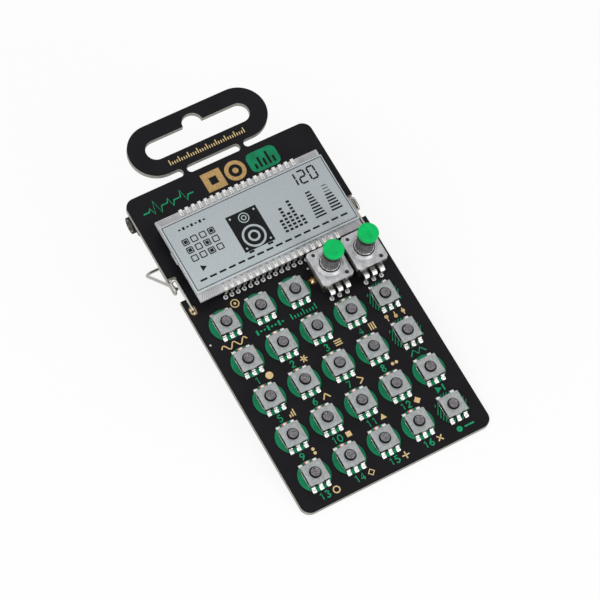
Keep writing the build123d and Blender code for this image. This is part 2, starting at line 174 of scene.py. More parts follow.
# %% One shape at many places
def stamp(shape, places, into=None):
    """Set one shape down at many places, as one bmesh, and free the shape."""
    whole = into or bmesh.new()
    mesh = bpy.data.meshes.new("stamp")
    shape.to_mesh(mesh)
    shape.free()
    for place in places:
        before = set(whole.verts)
        whole.from_mesh(mesh)
        spot = place if isinstance(place, Matrix) else Matrix.Translation(place)
        bmesh.ops.transform(whole, matrix=spot, verts=[v for v in whole.verts if v not in before])
    bpy.data.meshes.remove(mesh)
    return whole


# %% Round wires and strokes
def tube(shape, route, radius, resolution, closed=False, matrix=Matrix()):
    """A curve with a round section and capped ends along a route, made a mesh."""
    curve = bpy.data.curves.new("tube", "CURVE")
    curve.dimensions = "3D"
    curve.bevel_depth = radius
    curve.bevel_resolution = resolution
    curve.use_fill_caps = True
    line = curve.splines.new("POLY")
    line.points.add(len(route) - 1)
    for knot, spot in zip(line.points, route):
        knot.co = (*spot, 1)
    line.use_cyclic_u = closed
    holder = bpy.data.objects.new("tube", curve)
    mesh = bpy.data.meshes.new_from_object(holder)
    mesh.transform(matrix)
    shape.from_mesh(mesh)
    bpy.data.objects.remove(holder)
    bpy.data.curves.remove(curve)
    bpy.data.meshes.remove(mesh)


# %% [markdown]
# A node of the CAD model is a net of loose triangles. Where its form is already right, a copy of
# it is merged, its flat faces are joined again, and its edges are rounded. The node itself is
# left as it was, because the frame has to stay what the checks have tested.


# %% From a CAD node or a shape to a finished piece
MERGE = 1e-4
FLAT = radians(0.5)
SMOOTH_BELOW = radians(35)


def copied(node, width, segments=2):
    """A copy of a CAD node on the flat board, merged, with its sharp edges rounded."""
    shape = bmesh.new()
    shape.from_mesh(nodes[node].data)
    shape.transform(ON_BOARD.inverted())
    bmesh.ops.remove_doubles(shape, verts=shape.verts, dist=MERGE)
    bmesh.ops.dissolve_limit(shape, angle_limit=FLAT, verts=shape.verts, edges=shape.edges)
    soften(shape, width, segments)
    return shape


def piece(name, shape, finishes, node=None, body="board"):
    """Lean the shape back onto the standing board, and let it ride on a CAD body."""
    bmesh.ops.recalc_face_normals(shape, faces=shape.faces)
    shape.transform(ON_BOARD)
    mesh = bpy.data.meshes.new(name)
    shape.to_mesh(mesh)
    shape.free()
    for finish in finishes:
        mesh.materials.append(finish)
    mesh.shade_smooth()
    mesh.set_sharp_from_angle(angle=SMOOTH_BELOW)
    made = bpy.data.objects.new(name, mesh)
    bpy.context.scene.collection.objects.link(made)
    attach(made, body)
    if node:
        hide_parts(node)
    print(name, len(mesh.polygons), "faces")


def softened(name, node, width, finish, segments=2, body="board"):
    """A finished piece that is a softened copy of one CAD node."""
    piece(name, copied(node, width, segments), [finish], node, body)


# %% [markdown]
# ## Finishes
# Every finish is a small node tree on Object coordinates, so its scale is a real size in
# millimetres wherever the piece is. Colours are written as sRGB, as a colour picker shows them,
# and Blender's shaders want linear light, so one function turns them over.


# %% Colour and nodes
def linear(code):
    """An sRGB hex value as linear red, green, blue and alpha."""
    parts = [int(code[n:n + 2], 16) / 255 for n in (1, 3, 5)]
    return [c / 12.92 if c <= 0.04045 else ((c + 0.055) / 1.055) ** 2.4 for c in parts] + [1.0]


def add(tree, kind, inputs=None, **settings):
    """Add one node, with its settings, and give each input a value or a link."""
    node = tree.nodes.new("ShaderNode" + kind)
    for name, value in settings.items():
        setattr(node, name, value)
    for name, value in (inputs or {}).items():
        if isinstance(value, bpy.types.NodeSocket):
            tree.links.new(value, node.inputs[name])
        else:
            node.inputs[name].default_value = value
    return node


# %% [markdown]
# Most surfaces differ in only a few things: two shades that the colour drifts between, the size
# of the blotches, how rough they are, and a fine relief. `surface` builds that tree, and each
# material below says what the real stuff is and passes its own values. Sizes are in millimetres:
# a noise of scale 1000 / size on coordinates in metres has blotches of that size. The grain of a
# mould or of rolled sheet is finer than a picture of the whole machine can show, so it is drawn
# as coarse as it needs to be.


# %% The common tree
def surface(name, shades, grain, rough, metallic=0.0, relief=0.0, relief_grain=0.3,
            stretch=(1, 1, 1), **shader):
    """A material whose colour, roughness and relief follow noise of real sizes."""
    made = bpy.data.materials.new(name)
    made.use_nodes = True
    tree = made.node_tree
    main = tree.nodes["Principled BSDF"]
    main.inputs["Metallic"].default_value = metallic
    for socket, value in shader.items():
        main.inputs[socket.replace("_", " ").title().replace("Ior", "IOR")].default_value = value
    where = add(tree, "TexCoord").outputs["Object"]
    turned_back = add(tree, "Mapping", {"Vector": where, "Rotation": (LEAN, 0, 0), "Scale": stretch},
                      vector_type="TEXTURE").outputs[0]
    blotch = add(tree, "TexNoise", {"Vector": turned_back, "Scale": 1 / (grain * MM),
                                    "Detail": 3.0}).outputs["Fac"]
    ramp = add(tree, "ValToRGB", {"Fac": blotch})
    for stop, shade, position in zip(ramp.color_ramp.elements, shades, (0.32, 0.68)):
        stop.color = linear(shade)
        stop.position = position
    tree.links.new(ramp.outputs["Color"], main.inputs["Base Color"])
    spread = add(tree, "MapRange", {"Value": blotch, "From Min": 0.3, "From Max": 0.7,
                                    "To Min": rough[0], "To Max": rough[1]})
    tree.links.new(spread.outputs["Result"], main.inputs["Roughness"])
    if relief:
        fine = add(tree, "TexNoise", {"Vector": turned_back, "Scale": 1 / (relief_grain * MM)})
        bump = add(tree, "Bump", {"Height": fine.outputs["Fac"], "Distance": relief * MM})
        tree.links.new(bump.outputs["Normal"], main.inputs["Normal"])
    return made


# %% [markdown]
# ### Circuit board
# The board is glass cloth in epoxy. Solder mask, a thin coat of dark enamel, covers both faces
# with a soft shine, and where the cutter went round the edge the pale laminate shows. Print on
# it is matt ink, bare copper is plated with gold, and solder joints are tin.

# %% Board finishes
# Black solder mask: near black with a breath of violet, satin, with the faint unevenness of a
# sprayed coat.
solder_mask = surface("black_solder_mask", ("#0e0d10", "#141216"), 7.0, (0.42, 0.55), relief=0.004,
                      relief_grain=0.5, specular_ior_level=0.12)
# Glass cloth laminate, routed: pale grey beige, with its layers as fine streaks along the edge.
laminate = surface("routed_laminate", ("#817f79", "#a19f97"), 0.25, (0.6, 0.8), stretch=(9, 9, 1),
                   relief=0.02, relief_grain=0.1)
# Screen printed ink: flat and matt, a little thinner in places. A fine line takes a thicker coat
# than a wide field, so it looks brighter.
green_ink = surface("green_screen_ink", ("#0b6f47", "#0f865a"), 2.5, (0.5, 0.65), specular_ior_level=0.2)
green_line = surface("green_ink_in_lines", ("#0e8a5c", "#14a26e"), 1.5, (0.5, 0.65), specular_ior_level=0.2)
white_ink = surface("white_screen_ink", ("#b9b8b4", "#d2d2cf"), 0.6, (0.5, 0.65))
# Gold plated copper: warm, soft edged reflections, because the plating is thin on rough copper.
gold_plate = surface("gold_plated_copper", ("#a3834f", "#bb9a66"), 0.8, (0.38, 0.5), metallic=0.55,
                     relief=0.006, relief_grain=0.15)
gold_line = surface("gold_plated_lines", ("#c6a972", "#dcc491"), 0.6, (0.4, 0.5), metallic=0.4)
# Gold plated barrel of a hole: smooth, drifting between gold and a darker brown, which is painted shade of
# the dark inside of the bore.
gold_barrel = surface("plated_barrel", ("#86693f", "#d8bb84"), 0.5, (0.16, 0.3), metallic=1.0)
# Solder: bright tin with a soft, slightly grainy skin. The same finish paints a highlight on the strip
# below the window of each switch wall.
tin_and_painted_highlight = surface("tin_solder_and_painted_highlight", ("#c9c9c7", "#f3f3f1"), 0.5, (0.18, 0.34), metallic=0.9, relief=0.02,
              relief_grain=0.25)
# Tinned rings are flat and dull. The top of a pin's rib takes a darker grey tin, which is painted shade of
# its pressed dimple.
ring_tin = surface("flat_dull_tin", ("#cfcfcd", "#e9e9e7"), 0.6, (0.4, 0.5), metallic=0.3)
rib_shade_tin = surface("rib_shade_tin", ("#a2a2a2", "#bebebd"), 0.6, (0.35, 0.5), metallic=0.5)

# %% [markdown]
# ### Display
# The display is a sandwich: two sheets of glass with liquid crystal between them, a polarising
# film on the front and a reflector behind. It could be built of clear glass, but the reflector
# makes the whole sheet look a milky grey, so the glass is given that grey and only its gloss.

# %% Display finishes
# Polarising film over a reflector: cool grey, smooth, with a very fine sparkle of the reflector.
polariser = surface("polarising_film", ("#a0a9ac", "#abb3b6"), 0.35, (0.30, 0.42), relief=0.002,
                    relief_grain=0.3, specular_ior_level=0.35)
# Float glass with a matt reflector behind it: grey, glossy, pale where an edge was ground.
front_glass = surface("front_glass", ("#adb5b8", "#b8bfc2"), 6.0, (0.10, 0.18))
rear_glass = surface("rear_glass", ("#a4a3a5", "#b6b5b7"), 3.0, (0.14, 0.24))
reflector = surface("reflector_film", ("#8f9494", "#a6abab"), 4.0, (0.35, 0.5))
# Switched-on liquid crystal: nearly black, seen through the film.
crystal_ink = surface("dark_crystal", ("#090a0d", "#111316"), 1.0, (0.32, 0.42), specular_ior_level=0.14)
# The seal between the sheets, a dark grey line along the edge of the film.
seal_ink = surface("grey_seal_line", ("#2c3033", "#3a3e41"), 1.0, (0.3, 0.4))
trace_ink = surface("clear_conductor", ("#8c8e90", "#999b9d"), 0.8, (0.2, 0.3))
seal_resin = surface("seal_resin", ("#909291", "#a4a6a5"), 0.8, (0.2, 0.35))

# %% [markdown]
# ### Sheet metal, wire and leads
# Switch covers and knob plates are stamped from tinned or zinc plated steel. A stamped sheet is
# not a mirror: it is covered with fine scratches and rolling marks, so its highlights are broad.

# %% Metal finishes
# Stamped and plated steel on the switches: pale satin, with fine rolling grain.
switch_steel = surface("satin_plated_steel", ("#909494", "#a8acac"), 0.7, (0.42, 0.6), metallic=0.6,
                       relief=0.01, relief_grain=0.16)
# Zinc plated steel on the knob plates: whiter, cloudy, with smears of passivation.
knob_steel = surface("zinc_plated_steel", ("#a2a2a5", "#bebfc0"), 1.8, (0.3, 0.5), metallic=0.75,
                     relief=0.012, relief_grain=0.35)
# Drawn spring wire: bright and even, because the die has smoothed it.
spring_wire = surface("drawn_spring_wire", ("#9b9995", "#aba9a4"), 3.0, (0.28, 0.34), metallic=1.0)
# Nickel plated spring steel, for the cell contacts and the crystal's can.
nickel = surface("nickel_plate", ("#c0bcb2", "#cdc9be"), 3.0, (0.26, 0.36), metallic=1.0)

# %% [markdown]
# ### Mouldings
# Plastic parts take the skin of their mould, which is dull where it was spark eroded and glossy
# where it was polished.

# %% Plastic finishes
# Glass filled nylon, moulded: black and dull. The same black is painted shade on the sides and foot of each
# stem and on the washer at the foot of each knob sleeve.
black_nylon_and_painted_shade = surface("black_moulded_nylon_and_painted_shade", ("#0c0b0d", "#151416"), 1.2, (0.5, 0.65), relief=0.01,
                      specular_ior_level=0.25)
# The stems of the buttons: dark grey and rough, with pale specks of glass fibre at the surface.
stem_plastic = surface("grey_speckled_nylon", ("#272528", "#868386"), 0.34, (0.45, 0.65), relief=0.06,
                       relief_grain=0.3)
# Phenolic paper laminate and brown moulding of the knob housings.
brown_phenolic = surface("brown_phenolic", ("#221b17", "#2f2620"), 1.5, (0.5, 0.65), relief=0.01)
# Polyamide sleeve of the knobs: near black, with grey blotches that are a painted sheen on its ribs. Its
# neck takes the black finish below, as painted shade under the cap; the same black is the shaft's own
# colour.
sleeve_with_painted_sheen = surface("ribbed_polyamide_painted_sheen", ("#19181a", "#68666b"), 0.3, (0.24, 0.36), relief=0.01)
neck_shade_and_shaft_black = surface("black_polyamide_and_neck_shade", ("#0e0d0f", "#151416"), 0.8, (0.4, 0.5),
                       specular_ior_level=0.3)
# ABS caps: strong green, satin, with a trace of waviness from the mould.
green_abs = surface("green_moulded_abs", ("#00a955", "#00bb60"), 2.2, (0.38, 0.48), relief=0.008,
                    relief_grain=0.8, specular_ior_level=0.16)
# Epoxy lens of the lamps: milky white, and pink at its ends, which is a painted glow of the lit lamp.
lens_white = surface("milky_epoxy_lens", ("#e9e4df", "#fdfbf8"), 0.5, (0.25, 0.35), coat_weight=0.4)
lamp_glow_pink = surface("painted_pink_glow", ("#cb3f4c", "#ea8f98"), 0.4, (0.3, 0.4))
# Parts on the back: moulded epoxy, tantalum epoxy, painted pressing, pressed film and cell wrap.
epoxy_black = surface("moulded_epoxy", ("#17171a", "#212125"), 0.6, (0.45, 0.6), relief=0.01)
tantalum_epoxy = surface("ochre_epoxy", ("#a8782e", "#bd8c3d"), 0.7, (0.4, 0.5), relief=0.006)
painted_frame = surface("black_painted_pressing", ("#1a1a1b", "#262627"), 1.0, (0.38, 0.5), relief=0.01)
pressed_film = surface("pressed_cone_film", ("#262628", "#343437"), 1.6, (0.3, 0.42), relief=0.02)
cell_wrap = surface("printed_cell_wrap", ("#30343a", "#3b4047"), 9.0, (0.2, 0.3), coat_weight=0.3)
cell_band = surface("bright_cell_band", ("#a9adaf", "#c4c8ca"), 5.0, (0.22, 0.32), metallic=0.8)
print("finishes", len(bpy.data.materials))

# %% [markdown]
# ## The board
# A routed board has two skins of solder mask on a pale core. The CAD copy already has the
# outline, so only the edges are broken a little, and each face takes mask or laminate by the
# way it points.

# %% Board panel
BOARD_T = 1.6
RIM = 0.05

panel = copied("circuit_board", RIM, segments=1)
for part in panel.faces:
    part.material_index = 0 if abs(part.normal.z) > 0.9 else 1
piece("board_panel", panel, [solder_mask, laminate], "circuit_board")

# %% [markdown]
# Holes that carry a wire or a lug are plated: a thin barrel of copper and gold lines the hole
# and spreads into a ring on each face. It could be a cylinder with another cut out of it, but
# one closed profile spun round needs no cutting and has no stray faces. The long hole of a stand
# wire is such a ring, pulled longer.

# %% Plated holes
PLATE = 0.05
PLATE_LOW = -BOARD_T - PLATE
BARREL_R = 0.84
BARREL_RING_R = 1.25
BARREL_BORE_R = 0.7
LUGS = [(x, 7.45, 0) for x in (6.1, 16.55, 27.0)]
SLOT_X = 28.05
SLOT_Y = 14.5
SLOT_RUN = 0.45
SLOT_RING = 1.0
SLOT_BORE = 0.62


def ring_pad(shape, outer, inner, at, low=0.0, high=PLATE, sides=24):
    """A flat ring, as round a lead's hole."""
    turned([(inner, low), (outer, low), (outer, high), (inner, high)], (*at, 0), sides=sides,
           into=shape)


barrel = turned([(BARREL_BORE_R, PLATE_LOW), (BARREL_RING_R, PLATE_LOW), (BARREL_RING_R, -BOARD_T),
                 (BARREL_R, -BOARD_T), (BARREL_R, 0), (BARREL_RING_R, 0), (BARREL_RING_R, PLATE),
                 (BARREL_BORE_R, PLATE)])
holes = stamp(barrel, LUGS)
lining = bmesh.new()
ring_pad(lining, SLOT_RING, SLOT_BORE, (0, 0), low=PLATE_LOW)
for vert in lining.verts:
    vert.co.y += SLOT_RUN if vert.co.y > 0 else -SLOT_RUN
stamp(lining, [(-SLOT_X, SLOT_Y, 0), (SLOT_X, SLOT_Y, 0)], into=holes)
piece("plated_holes", holes, [gold_barrel])

# %% Ring pads of the display pins and the knob legs
PIN_PITCH = 2.0
PIN_COUNT = 19
PINS_X = [(n - (PIN_COUNT - 1) / 2) * PIN_PITCH for n in range(PIN_COUNT)]
PIN_HOLES = [(x, y) for x in PINS_X for y in (14.0, 41.6)]
PAD_R = 0.68
PAD_HOLE_R = 0.32
LEG_PITCH = 2.5
LEGS_X = [place.x + n * LEG_PITCH for place in KNOBS.values() for n in (-1, 0, 1)]
LEG_PAD_Y = 0.25

pads = bmesh.new()
for at in PIN_HOLES + [(x, LEG_PAD_Y) for x in LEGS_X]:
    ring_pad(pads, PAD_R, PAD_HOLE_R, at)
piece("ring_pads", pads, [ring_tin])

# %% [markdown]
# ## Print on the board
# Ink on a board is a film about 0.03 mm thick. It could be an image on the board's material, but
# strokes with a real thickness stay sharp at any size and come out in every export. A line of
# ink is a curve with a round section, made a mesh, and pressed flat, which keeps it closed. Each
# figure is a few strokes in a box one unit high. Only plain numbers and plain marks are printed.

# %% Lines of ink
INK = 0.03
CURVE_STEPS = 5


def rounded_line(points, closed):
    """Points on a smooth line through the given ones, by the Catmull-Rom formula."""
    count = len(points)
    route = []
    for n in range(count if closed else count - 1):
        around = [k % count if closed else min(max(k, 0), count - 1) for k in range(n - 1, n + 3)]
        a, b, c, d = [Vector(points[k]) for k in around]
        for step in range(CURVE_STEPS):
            t = step / CURVE_STEPS
            route.append(0.5 * (2 * b + (c - a) * t + (2 * a - 5 * b + 4 * c - d) * t ** 2
                                + (3 * b - a - 3 * c + d) * t ** 3))
    return route if closed else route + [Vector(points[-1])]


def ink_line(shape, points, width, at=(0, 0), size=1.0, smooth=False, closed=False):
    """Draw one stroke of ink on the board."""
    route = rounded_line(points, closed) if smooth else points
    spots = [(at[0] + x * size, at[1] + y * size, 0) for x, y in route]
    tube(shape, spots, width / 2, 1, closed, Matrix.Diagonal((1, 1, 2 * INK / width, 1)))


# %% The ten figures
# Each stroke says whether it is rounded and whether it is closed, and then its points.
FIGURES = {
    "0": [(True, True, [(0.3, 1), (0.02, 0.72), (0.02, 0.28), (0.3, 0), (0.58, 0.28), (0.58, 0.72)])],
    "1": [(False, False, [(0.12, 0.8), (0.36, 1), (0.36, 0)])],
    "2": [(True, False, [(0.03, 0.74), (0.28, 1), (0.56, 0.74), (0.38, 0.42), (0.02, 0.02)]),
          (False, False, [(0.02, 0.02), (0.6, 0.02)])],
    "3": [(True, False, [(0.04, 0.86), (0.28, 1), (0.54, 0.78), (0.26, 0.56)]),
          (True, False, [(0.26, 0.56), (0.58, 0.29), (0.29, 0), (0.02, 0.15)])],
    "4": [(False, False, [(0.42, 0), (0.42, 1), (0.02, 0.3), (0.6, 0.3)])],
    "5": [(False, False, [(0.54, 1), (0.13, 1), (0.08, 0.56)]),
          (True, False, [(0.08, 0.56), (0.32, 0.63), (0.58, 0.32), (0.3, 0), (0.02, 0.13)])],
    "6": [(True, False, [(0.48, 1), (0.14, 0.62), (0.02, 0.3), (0.3, 0), (0.58, 0.3), (0.3, 0.58),
                         (0.05, 0.38)])],
    "7": [(False, False, [(0.02, 1), (0.58, 1), (0.2, 0)])],
    "8": [(True, True, [(0.3, 0.55), (0.07, 0.77), (0.3, 1), (0.53, 0.77), (0.3, 0.55),
                        (0.02, 0.27), (0.3, 0), (0.58, 0.27)])],
    "9": [(True, False, [(0.12, 0), (0.46, 0.38), (0.58, 0.7), (0.3, 1), (0.02, 0.7), (0.3, 0.42),
                         (0.55, 0.62)])],
}
FIGURE_W = 0.6
FIGURE_GAP = 0.28


def number(shape, text, at, height, width):
    """A plain number with its middle at a point."""
    step = (FIGURE_W + FIGURE_GAP) * height
    left = at[0] - (step * len(text) - FIGURE_GAP * height) / 2
    for n, figure in enumerate(text):
        for smooth, closed, points in FIGURES[figure]:
            corner = (left + n * step, at[1] - height / 2)
            ink_line(shape, points, width, corner, height, smooth, closed)


# %% [markdown]
# Round every button lies a green disc of ink, which is solid for the steps and hatched for three
# of the keys at the side. A hatch line is a chord, so its half length follows from how far it
# passes from the middle.

# %% Green discs
DISC_R = 4.7
HATCHED = ("button_function", "button_effects", "button_write")
HATCH_PITCH = 0.78
HATCH_WIDTH = 0.34
HATCH_TURN = radians(60)


def hatched_disc(shape, at):
    """Parallel chords of a circle."""
    along = Vector((cos(HATCH_TURN), sin(HATCH_TURN)))
    across = Vector((-along.y, along.x))
    count = int(DISC_R / HATCH_PITCH)
    for n in range(-count, count + 1):
        half = sqrt(DISC_R ** 2 - (n * HATCH_PITCH) ** 2)
        ends = [across * n * HATCH_PITCH + along * side * half for side in (-1, 1)]
        ink_line(shape, ends, HATCH_WIDTH, at)


discs = bmesh.new()
for name, place in BUTTONS.items():
    if name in HATCHED:
        hatched_disc(discs, place)
    else:
        rod(discs, DISC_R, 0, INK, place, sides=64)
piece("green_discs", discs, [green_ink])

# %% Numbers under the step buttons
LABEL_DROP = 6.3
LABEL_SHIFT = -0.2
FIGURE_H = 2.0
STROKE = 0.33

numbers = bmesh.new()
for name, place in STEPS.items():
    number(numbers, name[7:], (place.x + LABEL_SHIFT, place.y - LABEL_DROP), FIGURE_H, STROKE)
piece("step_numbers", numbers, [green_line])

# %% [markdown]
# Beside each number stands a small gold mark. These are sixteen plain signs: four filled forms,
# two rings, eight signs of bars and two pairs of dots, so no picture and no lettering. A sign
# of bars is a list of their ends, and spokes or steps make these lists.


# %% Patches and bars
def patch(shape, sides, radius, at, turn=0.0, low=0.0, high=PLATE):
    """A flat filled polygon."""
    verts = rod(shape, radius, low, high, sides=sides)
    bmesh.ops.transform(shape, verts=verts, matrix=placed(at, turn))


def bar(shape, start, end, width, at=(0, 0), low=0.0, high=PLATE):
    """A flat bar from one point to another."""
    start, end = Vector(start), Vector(end)
    span = end - start
    verts = block(shape, (span.length, width, high - low), (0, 0, (low + high) / 2))
    centre = Vector(at) + (start + end) / 2
    bmesh.ops.transform(shape, verts=verts, matrix=placed(centre, atan2(span.y, span.x)))


# %% Plain gold marks
MARK_X = 3.4
MARK_R = 1.1
MARK_LINE = 0.36
MARK_PITCH = 0.7
CHEVRON_TIP, CHEVRON_TAIL = 0.8 * MARK_R, -0.6 * MARK_R
DOT_R = 0.48
DOT_SHIFT = 0.62


def spokes(count, turn):
    """Bars through the middle, as pairs of ends."""
    angles = [n * pi / count + turn for n in range(count)]
    tips = [Vector((MARK_R * cos(angle), MARK_R * sin(angle))) for angle in angles]
    return [(-tip, tip) for tip in tips]


FILLED = ((32, 0), (4, pi / 4), (3, 0), (4, 0))
RING_SIDES = (32, 4)
LEVELS = [n * MARK_PITCH for n in (-1, 0, 1)]
BAR_SIGNS = (
    spokes(2, 0), spokes(2, pi / 4), spokes(3, 0),
    [((-MARK_R, level), (MARK_R, level)) for level in LEVELS],
    [((level, -MARK_R), (level, MARK_R)) for level in LEVELS],
    [((level, -MARK_R), (level, rise)) for level, rise in zip(LEVELS, (-0.2, 0.4, 1.0))],
    [((side * MARK_R, CHEVRON_TAIL), (0, CHEVRON_TIP)) for side in (-1, 1)],
    [((CHEVRON_TAIL, -side * MARK_R), (CHEVRON_TIP, 0)) for side in (-1, 1)])
PAIRS = ((DOT_SHIFT, 0), (0, DOT_SHIFT))


def gold_mark(shape, kind, at):
    """One of the sixteen signs."""
    if kind < 4:
        sides, turn = FILLED[kind]
        patch(shape, sides, MARK_R, at, turn)
    elif kind < 6:
        ring_pad(shape, MARK_R, MARK_R - MARK_LINE, at, sides=RING_SIDES[kind - 4])
    elif kind < 14:
        for start, end in BAR_SIGNS[kind - 6]:
            bar(shape, start, end, MARK_LINE, at)
    else:
        for side in (-1, 1):
            patch(shape, 24, DOT_R, Vector(at) + side * Vector(PAIRS[kind - 14]))


marks = bmesh.new()
for kind, place in enumerate(STEPS.values()):
    gold_mark(marks, kind, (place.x + MARK_X, place.y - LABEL_DROP))

# %% [markdown]
# The keys that choose a mode have marks of their own below them, as wide as a short word: a
# wave, a row of steps, a scale, sliders, a zigzag, an arrow and a dot. Above the display runs a
# pulse, and a scale crosses the hang tab. All of them are the bars, patches and strokes of the
# cells above, and those in gold are plated copper, so they are thicker than ink.

# %% Marks for the mode keys
WAVE_AT = (-22.6, 0.5)
WAVE_L = 8.0
WAVE_H = 1.7
WAVE_TURNS = 2.5
WAVE_STEPS = 24
DIAL_AT = (-16.6, 11.2)
SLIDERS = ((19.4, 0.5), (22.0, -0.4), (24.6, 0.1))
SLIDER_Y = -12.0


def scale(shape, at, length, count, short, tall, every, width, high=PLATE):
    """A row of upright ticks, every so many of them taller."""
    for n in range(count):
        x = length * (n / (count - 1) - 0.5)
        top = tall if n % every == 0 else short
        bar(shape, (x, -tall / 2), (x, top - tall / 2), width, at, high=high)


wave = [(WAVE_L * (n / WAVE_STEPS - 0.5), WAVE_H / 2 * sin(2 * pi * WAVE_TURNS * n / WAVE_STEPS))
        for n in range(WAVE_STEPS + 1)]
ink_line(marks, wave, MARK_LINE, WAVE_AT)
for x, rise in SLIDERS:
    bar(marks, (x, SLIDER_Y - 1.0), (x, SLIDER_Y + 1.0), 0.3)
    patch(marks, 24, 0.55, (x, SLIDER_Y + rise))
scale(marks, (0, 57.8), length=24.0, count=33, short=0.9, tall=1.7, every=4, width=0.3)
ring_pad(marks, 1.3, 1.0, DIAL_AT)
patch(marks, 24, 0.4, DIAL_AT)
piece("gold_marks", marks, [gold_line])

# %% Green signs
STEP_PITCH = 1.15
ZIGZAG = [(19.6, -25.2), (20.9, -23.6), (22.0, -25.2), (23.1, -23.6), (24.4, -25.2)]
PULSE = [(-26.4, 46.6), (-24.6, 46.6), (-24.0, 47.6), (-23.2, 45.4), (-22.2, 49.4), (-21.2, 45.0),
         (-20.5, 47.0), (-18.6, 47.0), (-18.0, 48.2), (-17.3, 45.4), (-16.5, 47.0), (-14.4, 47.0),
         (-13.8, 49.0), (-12.9, 45.2), (-12.2, 46.8), (-10.4, 46.8)]

signs = bmesh.new()
for n in range(8):
    x = n * STEP_PITCH
    bar(signs, (x - 15.6, 0.5), (x - 15.0, 0.5), 1.5 if n % 3 == 0 else 0.5, high=INK)
scale(signs, (-0.6, 0.5), length=7.6, count=9, short=1.0, tall=1.8, every=4, width=0.34, high=INK)
ink_line(signs, ZIGZAG, 0.36)
ink_line(signs, PULSE, 0.46)
patch(signs, 3, 1.15, (21.2, -37.0), -pi / 2, high=INK)
patch(signs, 24, 0.85, (20.6, -49.8), high=INK)
for start, end in (((23.0, -38.0), (23.0, -36.0)), ((22.2, -49.8), (25.2, -49.8))):
    bar(signs, start, end, 0.45, high=INK)
piece("green_signs", signs, [green_line])

# %% [markdown]
# Above the display stand two large gold shapes and one green one. They are plain forms: a
# square with a square window, a ring with a dot, and a green plate that holds five bars. A
# square window is a ring of four sides, so the same tool makes both gold shapes.

# %% Large shapes
SQUARE_AT = (-3.4, 47.4)
RING_AT = (3.6, 47.4)
GREEN_AT = (12.6, 47.2)
GREEN_SIZE = (9.4, 6.4)
GREEN_CORNER = 1.8
LEVEL_HEIGHTS = (1.6, 3.4, 2.4, 4.2, 2.0)
LEVEL_W = 0.7
LEVEL_PITCH = 1.45
LEVEL_FOOT = GREEN_AT[1] - 2.2

square = bmesh.new()
ring_pad(square, 4.3, 1.7, (0, 0), sides=4)
shapes = stamp(square, [placed(SQUARE_AT, pi / 4)])
ring_pad(shapes, 3.2, 2.0, RING_AT, sides=48)
patch(shapes, 32, 0.9, RING_AT)
piece("gold_shapes", shapes, [gold_plate])

badge = bmesh.new()
block(badge, (*GREEN_SIZE, INK), (*GREEN_AT, INK / 2))
corners = [edge for edge in badge.edges if abs(edge.verts[0].co.z - edge.verts[1].co.z) > INK / 2]
bmesh.ops.bevel(badge, geom=corners, offset=GREEN_CORNER, segments=8, profile=0.5, affect="EDGES",
                material=-1)
piece("green_plate", badge, [green_ink])

levels = bmesh.new()
for n, tall in enumerate(LEVEL_HEIGHTS):
    x = GREEN_AT[0] + (n - 2) * LEVEL_PITCH
    bar(levels, (x, LEVEL_FOOT), (x, LEVEL_FOOT + tall), LEVEL_W, low=INK, high=2 * INK)
piece("level_bars", levels, [solder_mask])

dots = bmesh.new()
for at in ((6.9, 11.3), (-28.8, 3.1)):
    patch(dots, 16, 0.28, at, high=INK)
piece("white_dots", dots, [white_ink])

# %% [markdown]
# ## The display
# Two sheets of glass lie on each other, and the front one is shorter, so that the conductors on
# the rear one stay free for the pins. The CAD nodes have that form already, so their copies
# only get ground edges.

# %% Glass, films and the resin that closes the filling hole
softened("rear_sheet", "display_rear_glass", 0.1, rear_glass)
softened("front_sheet", "display_front_glass", 0.12, front_glass)
softened("front_polariser", "display_front_film", 0.04, polariser)
softened("rear_reflector", "display_rear_film", 0.05, reflector)
softened("filling_seal", "display_seal_plug", 0.35, seal_resin, segments=3)

FILM_LOW, FILM_HIGH = board_box("display_front_film")
REAR_LOW, REAR_HIGH = board_box("display_rear_glass")
FRONT_LOW, FRONT_HIGH = board_box("display_front_glass")
GLASS_Y = (REAR_LOW.y + REAR_HIGH.y) / 2

# %% [markdown]
# The switched-on segments are drawn as dark patches on the film. They are plain signs: three
# figures of seven segments, a loudspeaker cabinet, columns of level bars, a grid of squares for
# the pattern, two meters, and a row of sixteen dashes. They could be cut out of the film, but
# thin patches that lie on it look the same and leave it whole.

# %% Seven-segment figures
LIT = {"0": "abcdef", "1": "bc", "2": "abdeg"}
DIGITS_AT = (14.6, 34.9)
DIGIT_PITCH = 3.2
DIGIT_X, DIGIT_Y = 1.0, 2.0
SEGMENT = 0.5
SEGMENT_GAP = 0.14
ENDS = {"a": ((-1, 1), (1, 1)), "b": ((1, 1), (1, 0)), "c": ((1, 0), (1, -1)), "d": ((-1, -1), (1, -1)),
        "e": ((-1, -1), (-1, 0)), "f": ((-1, 0), (-1, 1)), "g": ((-1, 0), (1, 0))}

crystal = bmesh.new()


def lit_bar(start, end, width, at=(0, 0)):
    """One switched-on bar of the display."""
    bar(crystal, start, end, width, at, high=INK)


def lit_dash(at, length, width):
    """A level bar of the display, with its middle at a point."""
    lit_bar((-length / 2, 0), (length / 2, 0), width, at)


for n, figure in enumerate("120"):
    for name in LIT[figure]:
        start, end = (Vector((x * DIGIT_X, y * DIGIT_Y)) for x, y in ENDS[name])
        trim = (end - start).normalized() * SEGMENT_GAP
        lit_bar(start + trim, end - trim, SEGMENT, (DIGITS_AT[0] + DIGIT_PITCH * n, DIGITS_AT[1]))

